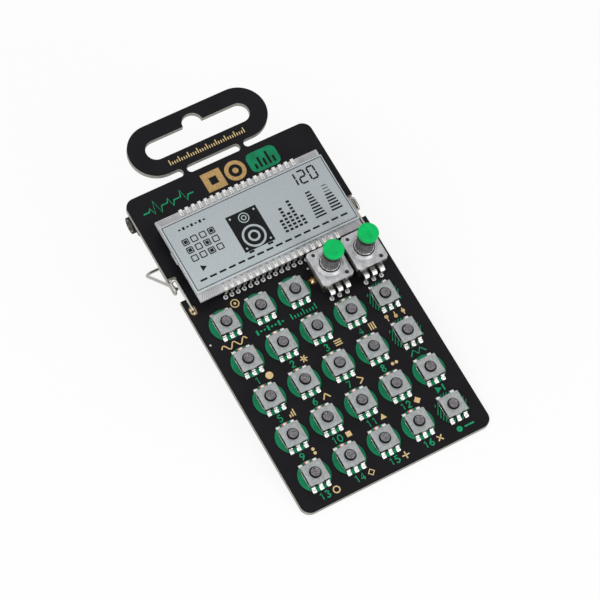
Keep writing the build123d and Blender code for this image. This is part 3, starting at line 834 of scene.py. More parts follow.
# %% Dashes, squares and level bars
DASH_Y = 19.3
DASH_PITCH = 3.0
DASH = (2.1, 0.58)
GRID_AT = (-21.6, 31.6)
GRID_PITCH = 2.7
SQUARE_HALF = 0.85
SQUARE_LINE = 0.3
SQUARE = ((-1, 1), (1, 1), (1, -1), (-1, -1), (-1, 1))
FILLED_R = 0.72
TICKS_AT = (-21.45, 35.6)
TICK_PITCH = 1.3
TICK_W = 0.7
ARROW_AT = (-20.9, 22.6)
METER_FOOT = 21.9
COLUMN_X = 5.6
COLUMN_PITCH = (1.5, 1.15)
COLUMN_BAR = (1.0, 0.7)
COLUMN_COUNTS = (4, 7, 5, 8, 3)
# The middle of each meter, and how many of its nine bars are thick.
METERS = ((16.6, 9), (21.8, 6))
METER_W = 3.4
METER_TAPER = 0.24

for n in range(16):
    lit_dash(((n - 7.5) * DASH_PITCH, DASH_Y), *DASH)
for row in range(3):
    for column in range(4):
        at = (GRID_AT[0] + GRID_PITCH * column, GRID_AT[1] - GRID_PITCH * row)
        for start, end in zip(SQUARE, SQUARE[1:]):
            lit_bar(SQUARE_HALF * Vector(start), SQUARE_HALF * Vector(end), SQUARE_LINE, at)
        if (row + 2 * column) % 5 < 2:
            patch(crystal, 4, FILLED_R, at, pi / 4, high=INK)
for n in range(7):
    lit_dash((TICKS_AT[0] + TICK_PITCH * n, TICKS_AT[1]), TICK_W, 0.9 if n % 2 else 0.45)
patch(crystal, 3, 1.1, ARROW_AT, -pi / 2, high=INK)
for column, count in enumerate(COLUMN_COUNTS):
    for n in range(count):
        at = (COLUMN_X + COLUMN_PITCH[0] * column, METER_FOOT + COLUMN_PITCH[1] * n)
        lit_dash(at, *COLUMN_BAR)
for x, thick in METERS:
    for n in range(9):
        lit_dash((x, METER_FOOT + n), METER_W - METER_TAPER * n, 0.5 if n < thick else 0.22)

# %% Loudspeaker cabinet
# Dark cabinet with two feet, light rings cut out of it, and dark cones inside the rings.
CABINET = Vector((-3.4, 27.2))
CABINET_W = 9.6
CABINET_H = 12.0
CABINET_FEET = [Vector((x, -CABINET_H / 2 - 0.4)) for x in (-3, 3)]
CABINET_FOOT = (1.6, 0.6)
CONES = (((-3.4, 24.9), 3.5), ((-3.4, 31.0), 1.6))
SCREWS = [(x, y) for x in (-7.2, 0.4) for y in (22.2, 32.2)]

lit_dash(CABINET, CABINET_W, CABINET_H)
for shift in CABINET_FEET:
    lit_dash(CABINET + shift, *CABINET_FOOT)
rings = bmesh.new()
for at, radius in CONES:
    ring_pad(rings, radius, radius * 0.82, at, low=INK, high=2 * INK, sides=48)
    ring_pad(rings, radius * 0.5, radius * 0.32, at, low=INK, high=2 * INK, sides=32)
for at in SCREWS:
    patch(rings, 16, 0.32, at, low=INK, high=2 * INK)

for name, shape, finish in (("lit_segments", crystal, crystal_ink), ("segment_windows", rings, polariser)):
    bmesh.ops.translate(shape, verts=shape.verts, vec=(0, 0, FILM_HIGH.z))
    piece(name, shape, [finish])

# %% [markdown]
# A dark line runs round the film, where the seal between the sheets shows through. On the free
# strips of the rear glass each pin has its own clear conductor, and finer ones fan out beside them.

# %% Seal lines and conductors
SEAL_LINE = 0.24
SEAL_OUT = Vector((0.2, 0.2, 0))
TRACE_W = 0.55
TRACE_OUT = 0.3
FINE_TRACE_W = 0.18
FINE_TRACES_X = [side * (20.4 + 0.62 * n) for side in (-1, 1) for n in range(9)]
FINE_LEAN = 0.8
STRIPS = ((REAR_LOW.y, FRONT_LOW.y), (REAR_HIGH.y, FRONT_HIGH.y))

low, high = (FILM_LOW - SEAL_OUT).xy, (FILM_HIGH + SEAL_OUT).xy
seal = bmesh.new()
for start, end in (((low.x, low.y), (high.x, low.y)), ((low.x, high.y), (high.x, high.y)),
                   ((low.x, low.y), (low.x, high.y)), ((high.x, low.y), (high.x, high.y))):
    bar(seal, start, end, SEAL_LINE, low=FRONT_HIGH.z, high=FRONT_HIGH.z + INK)
piece("seal_lines", seal, [seal_ink])

traces = bmesh.new()
for edge, glass in STRIPS:
    out = TRACE_OUT if glass > edge else -TRACE_OUT
    runs = [(x, x, TRACE_W) for x in PINS_X]
    runs += [(x, x + (FINE_LEAN if x < 0 else -FINE_LEAN), FINE_TRACE_W) for x in FINE_TRACES_X]
    for x, end_x, width in runs:
        bar(traces, (x, edge + out), (end_x, glass), width, low=REAR_HIGH.z, high=REAR_HIGH.z + INK)
piece("glass_conductors", traces, [trace_ink])

# %% [markdown]
# ### Display pins
# Each pin is a strip of tinned bronze that grips the edge of the rear glass and runs down to
# the board. The clip is as wide as half the pitch, and below it the lead is narrower. A rib is
# pressed into the top of the clip, where it bites on the conductor, and its top is painted a darker grey
# tin as painted shade of the dimple.
# One pin is made from two strips, and the upper row is the lower one turned by half a turn.

# %% One pin, set down at every pitch
PIN_W = 1.0
PIN_T = 0.3
PIN_LEAD_W = 0.56
PIN_NECK = 2.4
PIN_OVERLAP = 0.2
PIN_REACH = 1.8
PIN_RIB = (0.56, 1.1, 0.06)
PIN_RIB_IN = 1.15
PIN_EDGE = 0.07
TINY = 0.01


def display_pin():
    """The lower pin in the middle of the row."""
    edge, high = REAR_LOW.y, REAR_HIGH.z
    outer, top = edge - PIN_T, high + PIN_T
    shape = strip([(edge + PIN_REACH, high), (edge + PIN_REACH, top), (outer, top),
                   (outer, PIN_NECK), (edge, PIN_NECK), (edge, high)], PIN_W)
    strip([(outer, PIN_NECK + PIN_OVERLAP), (outer, 0), (edge, 0), (edge, PIN_NECK + PIN_OVERLAP)],
          PIN_LEAD_W, into=shape)
    block(shape, PIN_RIB, (0, edge + PIN_RIB_IN, top))
    soften(shape, PIN_EDGE)
    # The top of the rib takes the darker tin, as painted shade of the dimple.
    for part in shape.faces:
        spot = part.calc_center_median()
        part.material_index = int(spot.z > top + TINY and abs(spot.x) < PIN_RIB[0] / 2)
    return shape


opposite = placed((0, 2 * GLASS_Y), pi)
places = [placed((x, 0)) for x in PINS_X]
pins = stamp(display_pin(), places + [opposite @ place for place in places])
piece("pin_clips", pins, [tin_and_painted_highlight, rib_shade_tin], "display_pins")

# %% [markdown]
# ## Push buttons
# A button of this kind is a moulded base with a snap dome in its pocket, a stem on the dome and
# a sheet cover over it all. The cover is stamped with a round hole, folded down at the sides,
# where a window shows the base, and clinched at the front and back. The strip of wall below the
# window is painted in bright tin as a painted highlight. The hole could be cut with a boolean, but
# here a circle is bridged to a square loop of as many points, which leaves even faces to bevel.

# %% Sheet cover
COVER_W = 6.2
COVER_TOP = board_box("switch_covers")[1].z
SHEET = 0.25
HOLE_R = 1.72
HOLE_SIDES = 24
COVER_CORNER = 0.3
WALL_SHEET = 0.15
WINDOW_Y = 1.9
WALL_ROWS = (0.2, 0.5, COVER_TOP - SHEET - 0.15, COVER_TOP - SHEET)
CLINCH = (2.0, 0.2, 0.95)
CLINCH_TOP = COVER_TOP - 0.05
COVER_EDGE = 0.06


def cover_wall():
    """A side wall: a sheet of three by three fields, of which the middle one is the window."""
    shape = bmesh.new()
    bmesh.ops.create_grid(shape, x_segments=3, y_segments=3, size=1.0)
    window = min(shape.faces, key=lambda part: part.calc_center_median().length)
    bmesh.ops.delete(shape, geom=[window], context="FACES")
    for vert in shape.verts:
        along, up = vert.co.x, vert.co.y
        y = WINDOW_Y if abs(along) < 0.5 else COVER_W / 2 - SHEET
        vert.co = Vector((COVER_W / 2, y if along > 0 else -y, WALL_ROWS[round((up + 1) * 1.5)]))
    shape.normal_update()
    bmesh.ops.solidify(shape, geom=shape.faces[:], thickness=WALL_SHEET)
    reach = max(vert.co.x for vert in shape.verts)
    bmesh.ops.translate(shape, verts=shape.verts, vec=(COVER_W / 2 - reach, 0, 0))
    # The strip below the window takes the bright tin finish, as a painted highlight.
    for part in shape.faces:
        part.material_index = int(part.calc_center_median().z < WALL_ROWS[1] + TINY)
    return shape


def switch_cover():
    """A plate with its round hole, two walls at the sides, and a clinch in front and behind."""
    plate = bmesh.new()
    bmesh.ops.create_circle(plate, segments=HOLE_SIDES, radius=HOLE_R)
    for vert in bmesh.ops.create_circle(plate, segments=HOLE_SIDES, radius=1.0)["verts"]:
        vert.co *= COVER_W / 2 / max(abs(vert.co.x), abs(vert.co.y))
    bmesh.ops.bridge_loops(plate, edges=plate.edges[:])
    bmesh.ops.solidify(plate, geom=plate.faces[:], thickness=SHEET)
    corners = [edge for edge in plate.edges if edge.calc_length() < 2 * SHEET
               and min(abs(c) for c in edge.verts[0].co.xy) > COVER_W / 2 - TINY]
    bmesh.ops.bevel(plate, geom=corners, offset=COVER_CORNER, segments=3, profile=0.5,
                    affect="EDGES", material=-1)
    high = max(vert.co.z for vert in plate.verts)
    bmesh.ops.translate(plate, verts=plate.verts, vec=(0, 0, COVER_TOP - high))
    stamp(cover_wall(), [placed((0, 0)), placed((0, 0), pi)], into=plate)
    for side in (-1, 1):
        block(plate, CLINCH, (0, side * COVER_W / 2, CLINCH_TOP - CLINCH[2] / 2))
    soften(plate, COVER_EDGE)
    return plate


covers = stamp(switch_cover(), BUTTONS.values())
piece("stamped_covers", covers, [switch_steel, tin_and_painted_highlight], "switch_covers")

# %% Bases and domes
softened("moulded_bases", "switch_bases", 0.08, black_nylon_and_painted_shade)
softened("snap_domes", "switch_domes", 0.1, nickel)

# %% [markdown]
# Three leads come out in front of each switch and two behind. Each one steps down to the board
# and disappears in a shiny fillet of solder, so lead and solder are one rounded form here.

# %% Leads with their solder
LEAD_W = 1.2
LEAD_PITCH = 2.25
LEAD_SIDE_VIEW = [(-3.04, 0), (-3.04, 1.05), (-3.3, 1.05), (-3.66, 0.5), (-4.35, 0.4), (-4.62, 0.14),
                  (-4.68, 0)]
LEAD_EDGE = 0.13
BACK_LEAD_IN = 0.15

lead = strip(LEAD_SIDE_VIEW, LEAD_W)
soften(lead, LEAD_EDGE)
behind = placed((0, 0), pi)
lead_places = [placed((n * LEAD_PITCH, 0)) for n in (-1, 0, 1)]
lead_places += [behind @ placed((n * LEAD_PITCH, BACK_LEAD_IN)) for n in (-1, 1)]
leads = stamp(stamp(lead, lead_places), BUTTONS.values())
piece("soldered_leads", leads, [tin_and_painted_highlight], "switch_leads")

# %% Lamps above the step buttons
LAMP_Y = 4.0
LAMP = (0.86, 0.76, 0.5)
LAMP_END = (0.4, 0.84, 0.4)
LAMP_END_X = 0.6
LAMP_EDGE = 0.07


def end_capped(body, cap, cap_x, edge):
    """A small part that lies on the board, with a cap of the second finish at each end."""
    shape = bmesh.new()
    block(shape, body, (0, 0, body[2] / 2))
    for side in (-1, 1):
        paint(block(shape, cap, (side * cap_x, 0, cap[2] / 2)), 1)
    soften(shape, edge)
    return shape


lamp_places = [placed((place.x, place.y + LAMP_Y)) for place in STEPS.values()]
lamps = stamp(end_capped(LAMP, LAMP_END, LAMP_END_X, LAMP_EDGE), lamp_places)
piece("step_lamps", lamps, [lens_white, lamp_glow_pink], "step_lights")

# %% [markdown]
# The stems are pieces of their own, because each one moves with its own button. A stem has a
# wide foot under the cover, which keeps it from falling out, and a slightly hollow top. Foot and
# sides are painted black as painted shade in the gap round the stem, so the grey top has a dark
# line round it. The stem is a side view spun round, because its top is worn softer at the rim than one
# bevel would make it.

# %% Stems
STEM_R = 1.38
FOOT_LOW, STEM_TOP = (corner.z for corner in board_box("button_1"))
FOOT_TOP = COVER_TOP - SHEET - 0.05
FOOT_W = 3.9
FOOT_EDGE = 0.05
STEM_SHADE_DEPTH = 0.05

for name, place in BUTTONS.items():
    stem = bmesh.new()
    block(stem, (FOOT_W, FOOT_W, FOOT_TOP - FOOT_LOW), (place.x, place.y, (FOOT_LOW + FOOT_TOP) / 2))
    soften(stem, FOOT_EDGE)
    turned([(0, FOOT_TOP - 0.1), (STEM_R, FOOT_TOP - 0.1), (STEM_R, STEM_TOP - 0.12),
            (STEM_R - 0.04, STEM_TOP - 0.04), (STEM_R - 0.13, STEM_TOP),
            (STEM_R - 0.3, STEM_TOP - 0.02), (0, STEM_TOP - 0.07)], place, into=stem)
    # Below its top the stem takes black, as painted shade in the gap round it.
    for part in stem.faces:
        part.material_index = int(part.calc_center_median().z < STEM_TOP - STEM_SHADE_DEPTH)
    piece(f"stem_{name[7:]}", stem, [stem_plastic, black_nylon_and_painted_shade], name, name)

# %% [markdown]
# ## Knobs
# A knob is a small rotary resistor: a brown housing, a plated sheet cover with a raised collar,
# three flat legs, a ribbed sleeve on the shaft and a green cap. The parts that stand still have
# their form in the CAD nodes already, so they are softened copies of them.

# %% Housings, covers and legs
softened("resistor_housings", "pot_housings", 0.12, brown_phenolic)
softened("resistor_covers", "pot_covers", 0.12, knob_steel)
softened("resistor_legs", "pot_legs", 0.09, tin_and_painted_highlight)

# %% [markdown]
# The ribs of the sleeve come from one circle with every second point drawn in. Two such loops,
# the ribs and the bore, are bridged to a ring, and the ring is extruded upwards twice: once for
# the ribbed part, whose grey blotches are a painted sheen, and once for the neck, painted black as painted
# shade under the cap.

# %% Ribbed sleeves
RIBS = 30
RIB_DEPTH = 0.2
RIB_EDGE = 0.05
SLEEVE_R = 2.66
BORE_R = 1.78
SLEEVE_LOW, SLEEVE_TOP = (corner.z for corner in board_box("left_knob_sleeve"))
NECK_L = 2.1


def ribbed_sleeve(at):
    """A ribbed tube, whose neck takes the second finish, black as painted shade under the cap."""
    shape = bmesh.new()
    ribs = bmesh.ops.create_circle(shape, segments=2 * RIBS, radius=SLEEVE_R)["verts"]
    for vert in ribs[::2]:
        vert.co *= 1 - RIB_DEPTH / SLEEVE_R
    bmesh.ops.create_circle(shape, segments=2 * RIBS, radius=BORE_R)
    ring = bmesh.ops.bridge_loops(shape, edges=shape.edges[:])["faces"]
    for rise in (SLEEVE_TOP - SLEEVE_LOW - NECK_L, NECK_L):
        ring = extruded(shape, ring, (0, 0, rise))
    soften(shape, RIB_EDGE, sharp=50)
    bmesh.ops.translate(shape, verts=shape.verts, vec=(*at.xy, SLEEVE_LOW))
    # The neck takes the black finish, as painted shade under the cap.
    for part in shape.faces:
        part.material_index = int(part.calc_center_median().z > SLEEVE_TOP - NECK_L)
    return shape


# %% Washer and bright rim at the foot of a sleeve
WASHER_R = 3.02
WASHER_LOW, WASHER_TOP = 7.3, 7.68
RIM_R = 2.8
RIM_TOP = 7.86


def washer(at):
    """A black washer, whose black is painted shade of the groove round the foot of the sleeve, and on it a
    bright rim.
    """
    shape = turned([(BORE_R, WASHER_LOW), (WASHER_R, WASHER_LOW), (WASHER_R, WASHER_TOP - 0.08),
                    (WASHER_R - 0.06, WASHER_TOP), (BORE_R, WASHER_TOP)], at, sides=64)
    low = WASHER_TOP - 0.1
    return turned([(BORE_R, low), (RIM_R, low), (RIM_R, RIM_TOP - 0.04), (RIM_R - 0.04, RIM_TOP),
                   (BORE_R, RIM_TOP)], at, sides=64, into=shape, finish=1)


# %% Slotted caps
CAP_R = 3.0
CAP_LOW, CAP_HIGH = (corner.z for corner in board_box("left_knob_cap"))
CAP_EDGE = 0.3
CAP_SLOT = (0.8, 3.6, 0.2)
CAP_SLOT_EDGE = 0.06


def slotted_cap(at):
    """A round top is bridged to the rim of a slot, and both rims are then drawn down."""
    shape = bmesh.new()
    rim = bmesh.ops.create_circle(shape, segments=64, radius=CAP_R)["verts"]
    slot_rim = bmesh.ops.create_circle(shape, segments=4, radius=sqrt(0.5))["verts"]
    bmesh.ops.rotate(shape, verts=slot_rim, cent=(0, 0, 0), matrix=Matrix.Rotation(pi / 4, 3, "Z"))
    bmesh.ops.scale(shape, verts=slot_rim, vec=(CAP_SLOT[0], CAP_SLOT[1], 1))
    outer, inner = [[edge for edge in shape.edges if edge.verts[0] in loop] for loop in (rim, slot_rim)]
    bmesh.ops.bridge_loops(shape, edges=outer + inner)
    for edges, depth in ((outer, CAP_HIGH - CAP_LOW), (inner, CAP_SLOT[2])):
        grown = bmesh.ops.extrude_edge_only(shape, edges=edges)["geom"]
        moved = [part for part in grown if isinstance(part, bmesh.types.BMVert)]
        bmesh.ops.translate(shape, verts=moved, vec=(0, 0, -depth))
        far_rim = [part for part in grown if isinstance(part, bmesh.types.BMEdge)]
        bmesh.ops.contextual_create(shape, geom=far_rim)
    inside = CAP_R - 0.5
    soften(shape, CAP_SLOT_EDGE, verts=[v for v in shape.verts if v.co.xy.length < inside])
    soften(shape, CAP_EDGE, 3, verts=[v for v in shape.verts if v.co.xy.length > inside])
    bmesh.ops.translate(shape, verts=shape.verts, vec=(*at.xy, CAP_HIGH))
    return shape


# %% The two knobs
for side, place in KNOBS.items():
    knob = f"{side}_knob"
    piece(f"{side}_ribbed_sleeve", ribbed_sleeve(place), [sleeve_with_painted_sheen, neck_shade_and_shaft_black],
          f"{knob}_sleeve", knob)
    piece(f"{side}_washer", washer(place), [black_nylon_and_painted_shade, tin_and_painted_highlight], body=knob)
    piece(f"{side}_green_cap", slotted_cap(place), [green_abs], f"{knob}_cap", knob)
    softened(f"{side}_shaft", f"{knob}_shaft", 0.08, neck_shade_and_shaft_black, body=knob)

# %% [markdown]
# ## Wire stand
# The stand is bent from spring wire of 0.9 mm. A wire is a route of straight runs with an arc at
# each corner, drawn as a curve with a round section and made a mesh. Each arc starts on the one
# run and ends on the other, so its length follows from its radius and the turn.

# %% Wires
WIRE_R = 0.45
WIRE_ROUND = 4
ARC_STEPS = 8
HOOK_STEPS = 12


def bent_path(corners, radii):
    """Points along straight runs, with an arc of its own radius at each inner corner."""
    corners = [Vector(point) for point in corners]
    route = [corners[0]]
    for before, corner, after, radius in zip(corners, corners[1:], corners[2:], radii):
        come, leave = (before - corner).normalized(), (after - corner).normalized()
        turn = pi - come.angle(leave)
        start = corner + come * radius * tan(turn / 2)
        centre = corner + (come + leave).normalized() * radius / cos(turn / 2)
        axis = (start - centre).cross(-come)
        for n in range(ARC_STEPS + 1):
            route.append(centre + Quaternion(axis, turn * n / ARC_STEPS) @ (start - centre))
    return route + [corners[-1]]


def half_circle(start, centre, axis):
    """The points after the start on half a turn round a centre."""
    turns = [Quaternion(axis, pi * n / HOOK_STEPS) for n in range(1, HOOK_STEPS + 1)]
    return [centre + turn @ (start - centre) for turn in turns]


# %% Clips and bail
PIVOT = ON_BOARD.inverted() @ Vector(JOINTS["stand_fold"]["pos_m"])
BAIL_LOW, BAIL_HIGH = board_box("stand_bail")
FOOT = Vector((0, BAIL_HIGH.y - WIRE_R, BAIL_LOW.z + WIRE_R))
EYE_X = BAIL_HIGH.x - WIRE_R
EYE_R = 2 * WIRE_R + 0.1
LEG_X = 28.5
CLIP_TOP_Y = 24.9
CLIP_END_Y = 31.0
CLIP_LOW = -BOARD_T - 0.5
CLIP_LEVEL = WIRE_R + 0.05
CLIP_BENDS = (0.6, 0.7, 0.7)
BAIL_BENDS = (0.6, 2.5, 2.5, 0.6)

for side, name in ((-1, "left"), (1, "right")):
    eye = Vector((side * EYE_X, PIVOT.y, PIVOT.z))
    top, low = eye + Vector((0, 0, EYE_R)), eye - Vector((0, 0, EYE_R))
    x = side * SLOT_X
    front = [(x, SLOT_Y, CLIP_LOW), (x, SLOT_Y, CLIP_LEVEL), (x, CLIP_TOP_Y, CLIP_LEVEL),
             (side * EYE_X, CLIP_TOP_Y, top.z), top]
    route = bent_path(front, CLIP_BENDS) + half_circle(top, eye, (1, 0, 0))
    clip = bmesh.new()
    tube(clip, route + [(low.x, CLIP_END_Y, low.z)], WIRE_R, WIRE_ROUND)
    piece(f"{name}_wire_clip", clip, [spring_wire], f"{name}_stand_clip")

bail = bmesh.new()
pin_end = EYE_X + WIRE_R
route = [(-pin_end, PIVOT.y, PIVOT.z), (-LEG_X, PIVOT.y, PIVOT.z), (-LEG_X, FOOT.y, FOOT.z),
         (LEG_X, FOOT.y, FOOT.z), (LEG_X, PIVOT.y, PIVOT.z), (pin_end, PIVOT.y, PIVOT.z)]
tube(bail, bent_path(route, BAIL_BENDS), WIRE_R, WIRE_ROUND)
piece("folding_wire", bail, [spring_wire], "stand_bail", "stand")

# %% [markdown]
# ## The back
# The back carries two dry cells between sheet contacts, two sockets for audio leads, the small
# speaker, a processor, an audio chip, a crystal and capacitors, and the solder joints of
# everything that goes through the board. A dry cell is round from its nub to its base, so it is
# a side view spun round, and its wrap, its band and its bare ends are three finishes of it.

# %% Dry cells
CELL_R = 5.25
CELL_L = 43.7
NUB = (1.9, 0.8)
END_CAP = 0.7
BAND_FROM = 7.0
BAND_L = 11.4
BAND_LOW_R, BAND_R = CELL_R - 0.05, CELL_R + 0.03
CELL_LOW, CELL_HIGH = board_box("battery_cells")
CELL_Z = (CELL_LOW.z + CELL_HIGH.z) / 2
CELLS = ((CELL_LOW.y + CELL_R, -1), (CELL_HIGH.y - CELL_R, 1))


def cell(shape, y, plus):
    """A wrapped can with rolled shoulders, its nub towards plus, and bare metal at both ends."""
    r, low, high = CELL_R, -CELL_L / 2, CELL_L / 2
    profile = [(0, low), (r - END_CAP, low), (r - 0.2, low + 0.12), (r, low + 0.5), (r, high - 0.5),
               (r - 0.25, high - 0.1), (r - END_CAP, high), (r - END_CAP - 0.3, high - 0.18),
               (2.6, high - 0.2), (NUB[0] + 0.1, high), (NUB[0], high + NUB[1] - 0.15),
               (NUB[0] - 0.2, high + NUB[1]), (0, high + NUB[1])]
    turned(profile, (-plus * NUB[1] / 2, y, CELL_Z), (plus, 0, 0), 64, into=shape)
    for part in shape.faces:
        spot = part.calc_center_median() - Vector((0, y, CELL_Z))
        if abs(spot.x) > high - 0.6 and spot.yz.length < r - END_CAP:
            part.material_index = 2


cells = bmesh.new()
for y, plus in CELLS:
    cell(cells, y, plus)
    turned([(BAND_LOW_R, 0), (BAND_R, 0), (BAND_R, BAND_L), (BAND_LOW_R, BAND_L)],
           (plus * BAND_FROM, y, CELL_Z), (plus, 0, 0), 64, into=cells, finish=1)
piece("wrapped_cells", cells, [cell_wrap, cell_band, nickel], "battery_cells")
softened("sheet_contacts", "battery_contacts", 0.12, nickel)

# %% Sockets
LINER_LOW_R, LINER_R = 1.66, 1.85
LINER_L = 6.0
JACK_MOUTH = 30.47

for side, name in ((-1, "left"), (1, "right")):
    low, high = board_box(f"{name}_jack")
    centre = (low + high) / 2
    softened(f"{name}_socket", f"{name}_jack", 0.18, black_nylon_and_painted_shade)
    liner = turned([(LINER_LOW_R, 0), (LINER_R, 0), (LINER_R, LINER_L), (LINER_LOW_R, LINER_L)],
                   (side * JACK_MOUTH, centre.y, centre.z), (-side, 0, 0))
    piece(f"{name}_socket_liner", liner, [nickel])

# %% [markdown]
# The speaker is a pressed basket with a dished film cone in it. Both are turned shapes, and the
# cone's side view has the ripple of its surround and the round cap over the coil.

# %% Speaker
SPEAKER_AT = spot_of("speaker_basket")
SPEAKER_R = 10.0
MOUTH_R = 8.5

rim = board_box("speaker_basket")[0].z
cone_low, cone_high = (corner.z for corner in board_box("speaker_cone"))
basket = turned([(0, -BOARD_T), (SPEAKER_R, -BOARD_T), (SPEAKER_R, rim + 0.2), (SPEAKER_R - 0.2, rim),
                 (MOUTH_R + 0.15, rim), (MOUTH_R, rim + 0.15), (MOUTH_R, cone_high), (0, cone_high)],
                SPEAKER_AT, sides=64)
piece("speaker_pressing", basket, [painted_frame], "speaker_basket")

ripple = [(8.45, 0.15), (8.3, 0.05), (8.0, 0), (7.7, 0.1), (7.3, 0.35), (4.6, 1.4), (3.5, 1.5), (3.2, 1.3),
          (2.4, 1.0), (1.3, 0.85), (0, 0.8)]
cone = turned([(0, cone_high), (8.45, cone_high)] + [(radius, cone_low + rise) for radius, rise in ripple],
              SPEAKER_AT, sides=64)
piece("film_cone", cone, [pressed_film], "speaker_cone")

# %% Chips
CHIP_GAP = 0.08
CHIP_EDGE = 0.1
CHIP_DOT_R = 0.3
CHIP_DOT_OUT = 0.36
PROCESSOR_W = 8.4
AUDIO_W = 4.9
CHIP_PITCH = 0.65
CHIP_LEAD_W = 0.32
CHIP_LEAD = [(3.9, -2.35), (4.35, -2.35), (4.6, -1.85), (4.98, -1.85), (4.98, -BOARD_T),
             (4.45, -BOARD_T), (4.2, -2.1), (3.9, -2.1)]
CHIP_PAD = (0.3, 0.5, 0.08)
CHIP_PAD_Y = 2.5


def chip_body(name, node, width):
    """A moulded body on the back, with the dot that marks its first lead."""
    at, low, foot = spot_of(node), board_box(node)[0].z, -BOARD_T - CHIP_GAP
    shape = bmesh.new()
    block(shape, (width, width, foot - low), (at.x, at.y, (low + foot) / 2))
    soften(shape, CHIP_EDGE)
    dot = width * CHIP_DOT_OUT
    rod(shape, CHIP_DOT_R, low - 0.015, low + 0.05, (at.x - dot, at.y + dot), 16)
    piece(name, shape, [epoxy_black], node)


def on_four_sides(node, count):
    """The places of a chip's leads, so many on each of its four sides."""
    row = [placed(((n - (count - 1) / 2) * CHIP_PITCH, 0)) for n in range(count)]
    return [placed(spot_of(node), n * pi / 2) @ place for n in range(4) for place in row]


chip_body("processor_body", "processor_chip", PROCESSOR_W)
leads = stamp(strip(CHIP_LEAD, CHIP_LEAD_W), on_four_sides("processor_chip", 12))
piece("processor_leads", leads, [tin_and_painted_highlight])

chip_body("audio_body", "audio_chip", AUDIO_W)
pad = bmesh.new()
block(pad, CHIP_PAD, (0, CHIP_PAD_Y, -BOARD_T - CHIP_PAD[2] / 2))
piece("audio_chip_pads", stamp(pad, on_four_sides("audio_chip", 6)), [tin_and_painted_highlight])

# %% Crystal and capacitors
softened("crystal_can", "crystal", 0.12, nickel)
softened("capacitor_blocks", "capacitors", 0.12, tantalum_epoxy)

# %% [markdown]
# Behind each pin, leg and lug a small cone of solder holds it, and small resistors and
# capacitors stand between the chips. One of each is made, and set down at many places.

# %% Solder joints and small parts
LEG_JOINT_Y = 0.3
SOLDER = [(0, 0), (0.72, 0), (0.66, 0.08), (0.36, 0.3), (0.24, 0.6), (0, 0.66)]
SMALL = (1.0, 0.85, 0.5)
SMALL_END = (0.36, 0.9, 0.52)
SMALL_END_X = 0.66
SMALL_EDGE = 0.06
SMALL_PARTS = ((-19.5, -4.0, 0), (-19.5, -6.2, 0), (-17.8, 1.8, 1), (-4.2, 0.6, 1), (-2.0, -7.4, 0),
               (2.6, -2.0, 1), (5.4, -2.0, 1), (14.6, -4.6, 0), (14.6, -7.0, 0), (10.0, -1.0, 0),
               (21.0, 3.0, 1), (23.4, 3.0, 1))

joint = turned([(radius, -BOARD_T - height) for radius, height in SOLDER], sides=16)
places = [(x, y, 0) for x, y in PIN_HOLES] + [(x, LEG_JOINT_Y, 0) for x in LEGS_X] + LUGS
piece("solder_joints", stamp(joint, places), [tin_and_painted_highlight])

over = Matrix.Translation((0, 0, -BOARD_T)) @ Matrix.Rotation(pi, 4, "X")
places = [placed((x, y), turn * pi / 2) @ over for x, y, turn in SMALL_PARTS]
small = stamp(end_capped(SMALL, SMALL_END, SMALL_END_X, SMALL_EDGE), places)
piece("small_components", small, [epoxy_black, tin_and_painted_highlight])

# %% [markdown]
# ## Floor, light and camera
# The floor is pale and takes the shadow, and the camera and mirror-like metals see floor and
# surroundings as white. A large soft lamp shines from the upper left, two weaker ones from low
# on the left and in front light the walls, and the world fills the rest, so that a colour renders
# about as it is written.


# %% White for the camera, plain light for everything else
def seen_directly(tree):
    """One for rays from the camera, from a mirror or through glass, and nought for the rest."""
    path = add(tree, "LightPath")
    kinds = [path.outputs[name] for name in ("Is Camera Ray", "Is Glossy Ray", "Is Transmission Ray")]
    both = add(tree, "Math", {0: kinds[0], 1: kinds[1]}, operation="MAXIMUM").outputs[0]
    return add(tree, "Math", {0: both, 1: kinds[2]}, operation="MAXIMUM").outputs[0]


FILL = 0.62

world = bpy.data.worlds.new("studio")
bpy.context.scene.world = world
world.use_nodes = True
tree = world.node_tree
strength = add(tree, "MapRange", {"Value": seen_directly(tree), "To Min": FILL, "To Max": 1.0})
tree.links.new(strength.outputs["Result"], tree.nodes["Background"].inputs["Strength"])
tree.nodes["Background"].inputs["Color"].default_value = (1, 1, 1, 1)

# %% Floor
FLOOR_W = 4.0
FLOOR_WHITE = 0.86

ground = bmesh.new()
bmesh.ops.create_grid(ground, x_segments=1, y_segments=1, size=FLOOR_W / 2)
mesh = bpy.data.meshes.new("floor")
ground.to_mesh(mesh)
ground.free()
floor = bpy.data.objects.new("floor", mesh)
bpy.context.scene.collection.objects.link(floor)

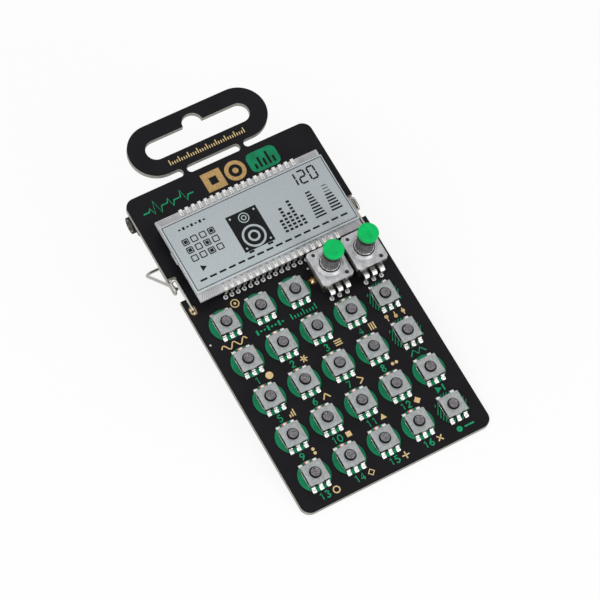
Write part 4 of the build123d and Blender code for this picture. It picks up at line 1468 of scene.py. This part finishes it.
paper = bpy.data.materials.new("white_paper")
paper.use_nodes = True
tree = paper.node_tree
base = tree.nodes["Principled BSDF"]
base.inputs["Base Color"].default_value = linear("#f5f5f3")
base.inputs["Roughness"].default_value = 0.9
glow = add(tree, "Emission", {"Color": (1, 1, 1, 1), "Strength": 1.0})
share = add(tree, "MapRange", {"Value": seen_directly(tree), "To Max": FLOOR_WHITE})
mixed = add(tree, "MixShader", {0: share.outputs["Result"], 1: base.outputs[0], 2: glow.outputs[0]})
tree.links.new(mixed.outputs[0], tree.nodes["Material Output"].inputs["Surface"])
mesh.materials.append(paper)

# %% Lamps
LAMPS = {"soft_box": (Vector((-0.7, -0.5, 1.1)), 0.7, 7.2),
         "side_box": (Vector((-1.1, 0.1, 0.4)), 0.8, 1.7),
         "front_box": (Vector((0.35, -1.15, 0.3)), 0.6, 4.0)}

for name, (spot, width, power) in LAMPS.items():
    light = bpy.data.lights.new(name, "AREA")
    light.size = width
    light.energy = power
    box = bpy.data.objects.new(name, light)
    box.location = spot
    box.rotation_euler = (-spot).to_track_quat("-Z", "Y").to_euler()
    bpy.context.scene.collection.objects.link(box)

# %% [markdown]
# The camera's place and turn were solved from points of known size: the corners of the board,
# the grid of buttons and the rows of pins. It looks from the lower left with a long lens, so
# there is little perspective. Three directions on the flat board say how it is turned.

# %% Camera
FOCAL_PIXELS = 2674.9
FRAME_PIXELS = 600
SENSOR = 36.0
EYE = Vector((-216.9, -225.9, 676.4))
AHEAD = Vector((0.2908, 0.3078, -0.9059)).normalized()
SIDEWAYS = Vector((0.8646, -0.4901, 0.1110))

upward = SIDEWAYS.cross(AHEAD).normalized()
sideways = AHEAD.cross(upward)
turn = Matrix((sideways, upward, -AHEAD)).transposed()
lens = bpy.data.cameras.new("camera")
lens.sensor_fit = "HORIZONTAL"
lens.sensor_width = SENSOR
lens.lens = SENSOR * FOCAL_PIXELS / FRAME_PIXELS
lens.clip_start = 0.01
camera = bpy.data.objects.new("camera", lens)
camera.matrix_world = Matrix.Translation(ON_BOARD @ EYE) @ (lean.to_3x3() @ turn).to_4x4()
bpy.context.scene.collection.objects.link(camera)
bpy.context.scene.camera = camera
bpy.context.scene.view_settings.view_transform = "Standard"
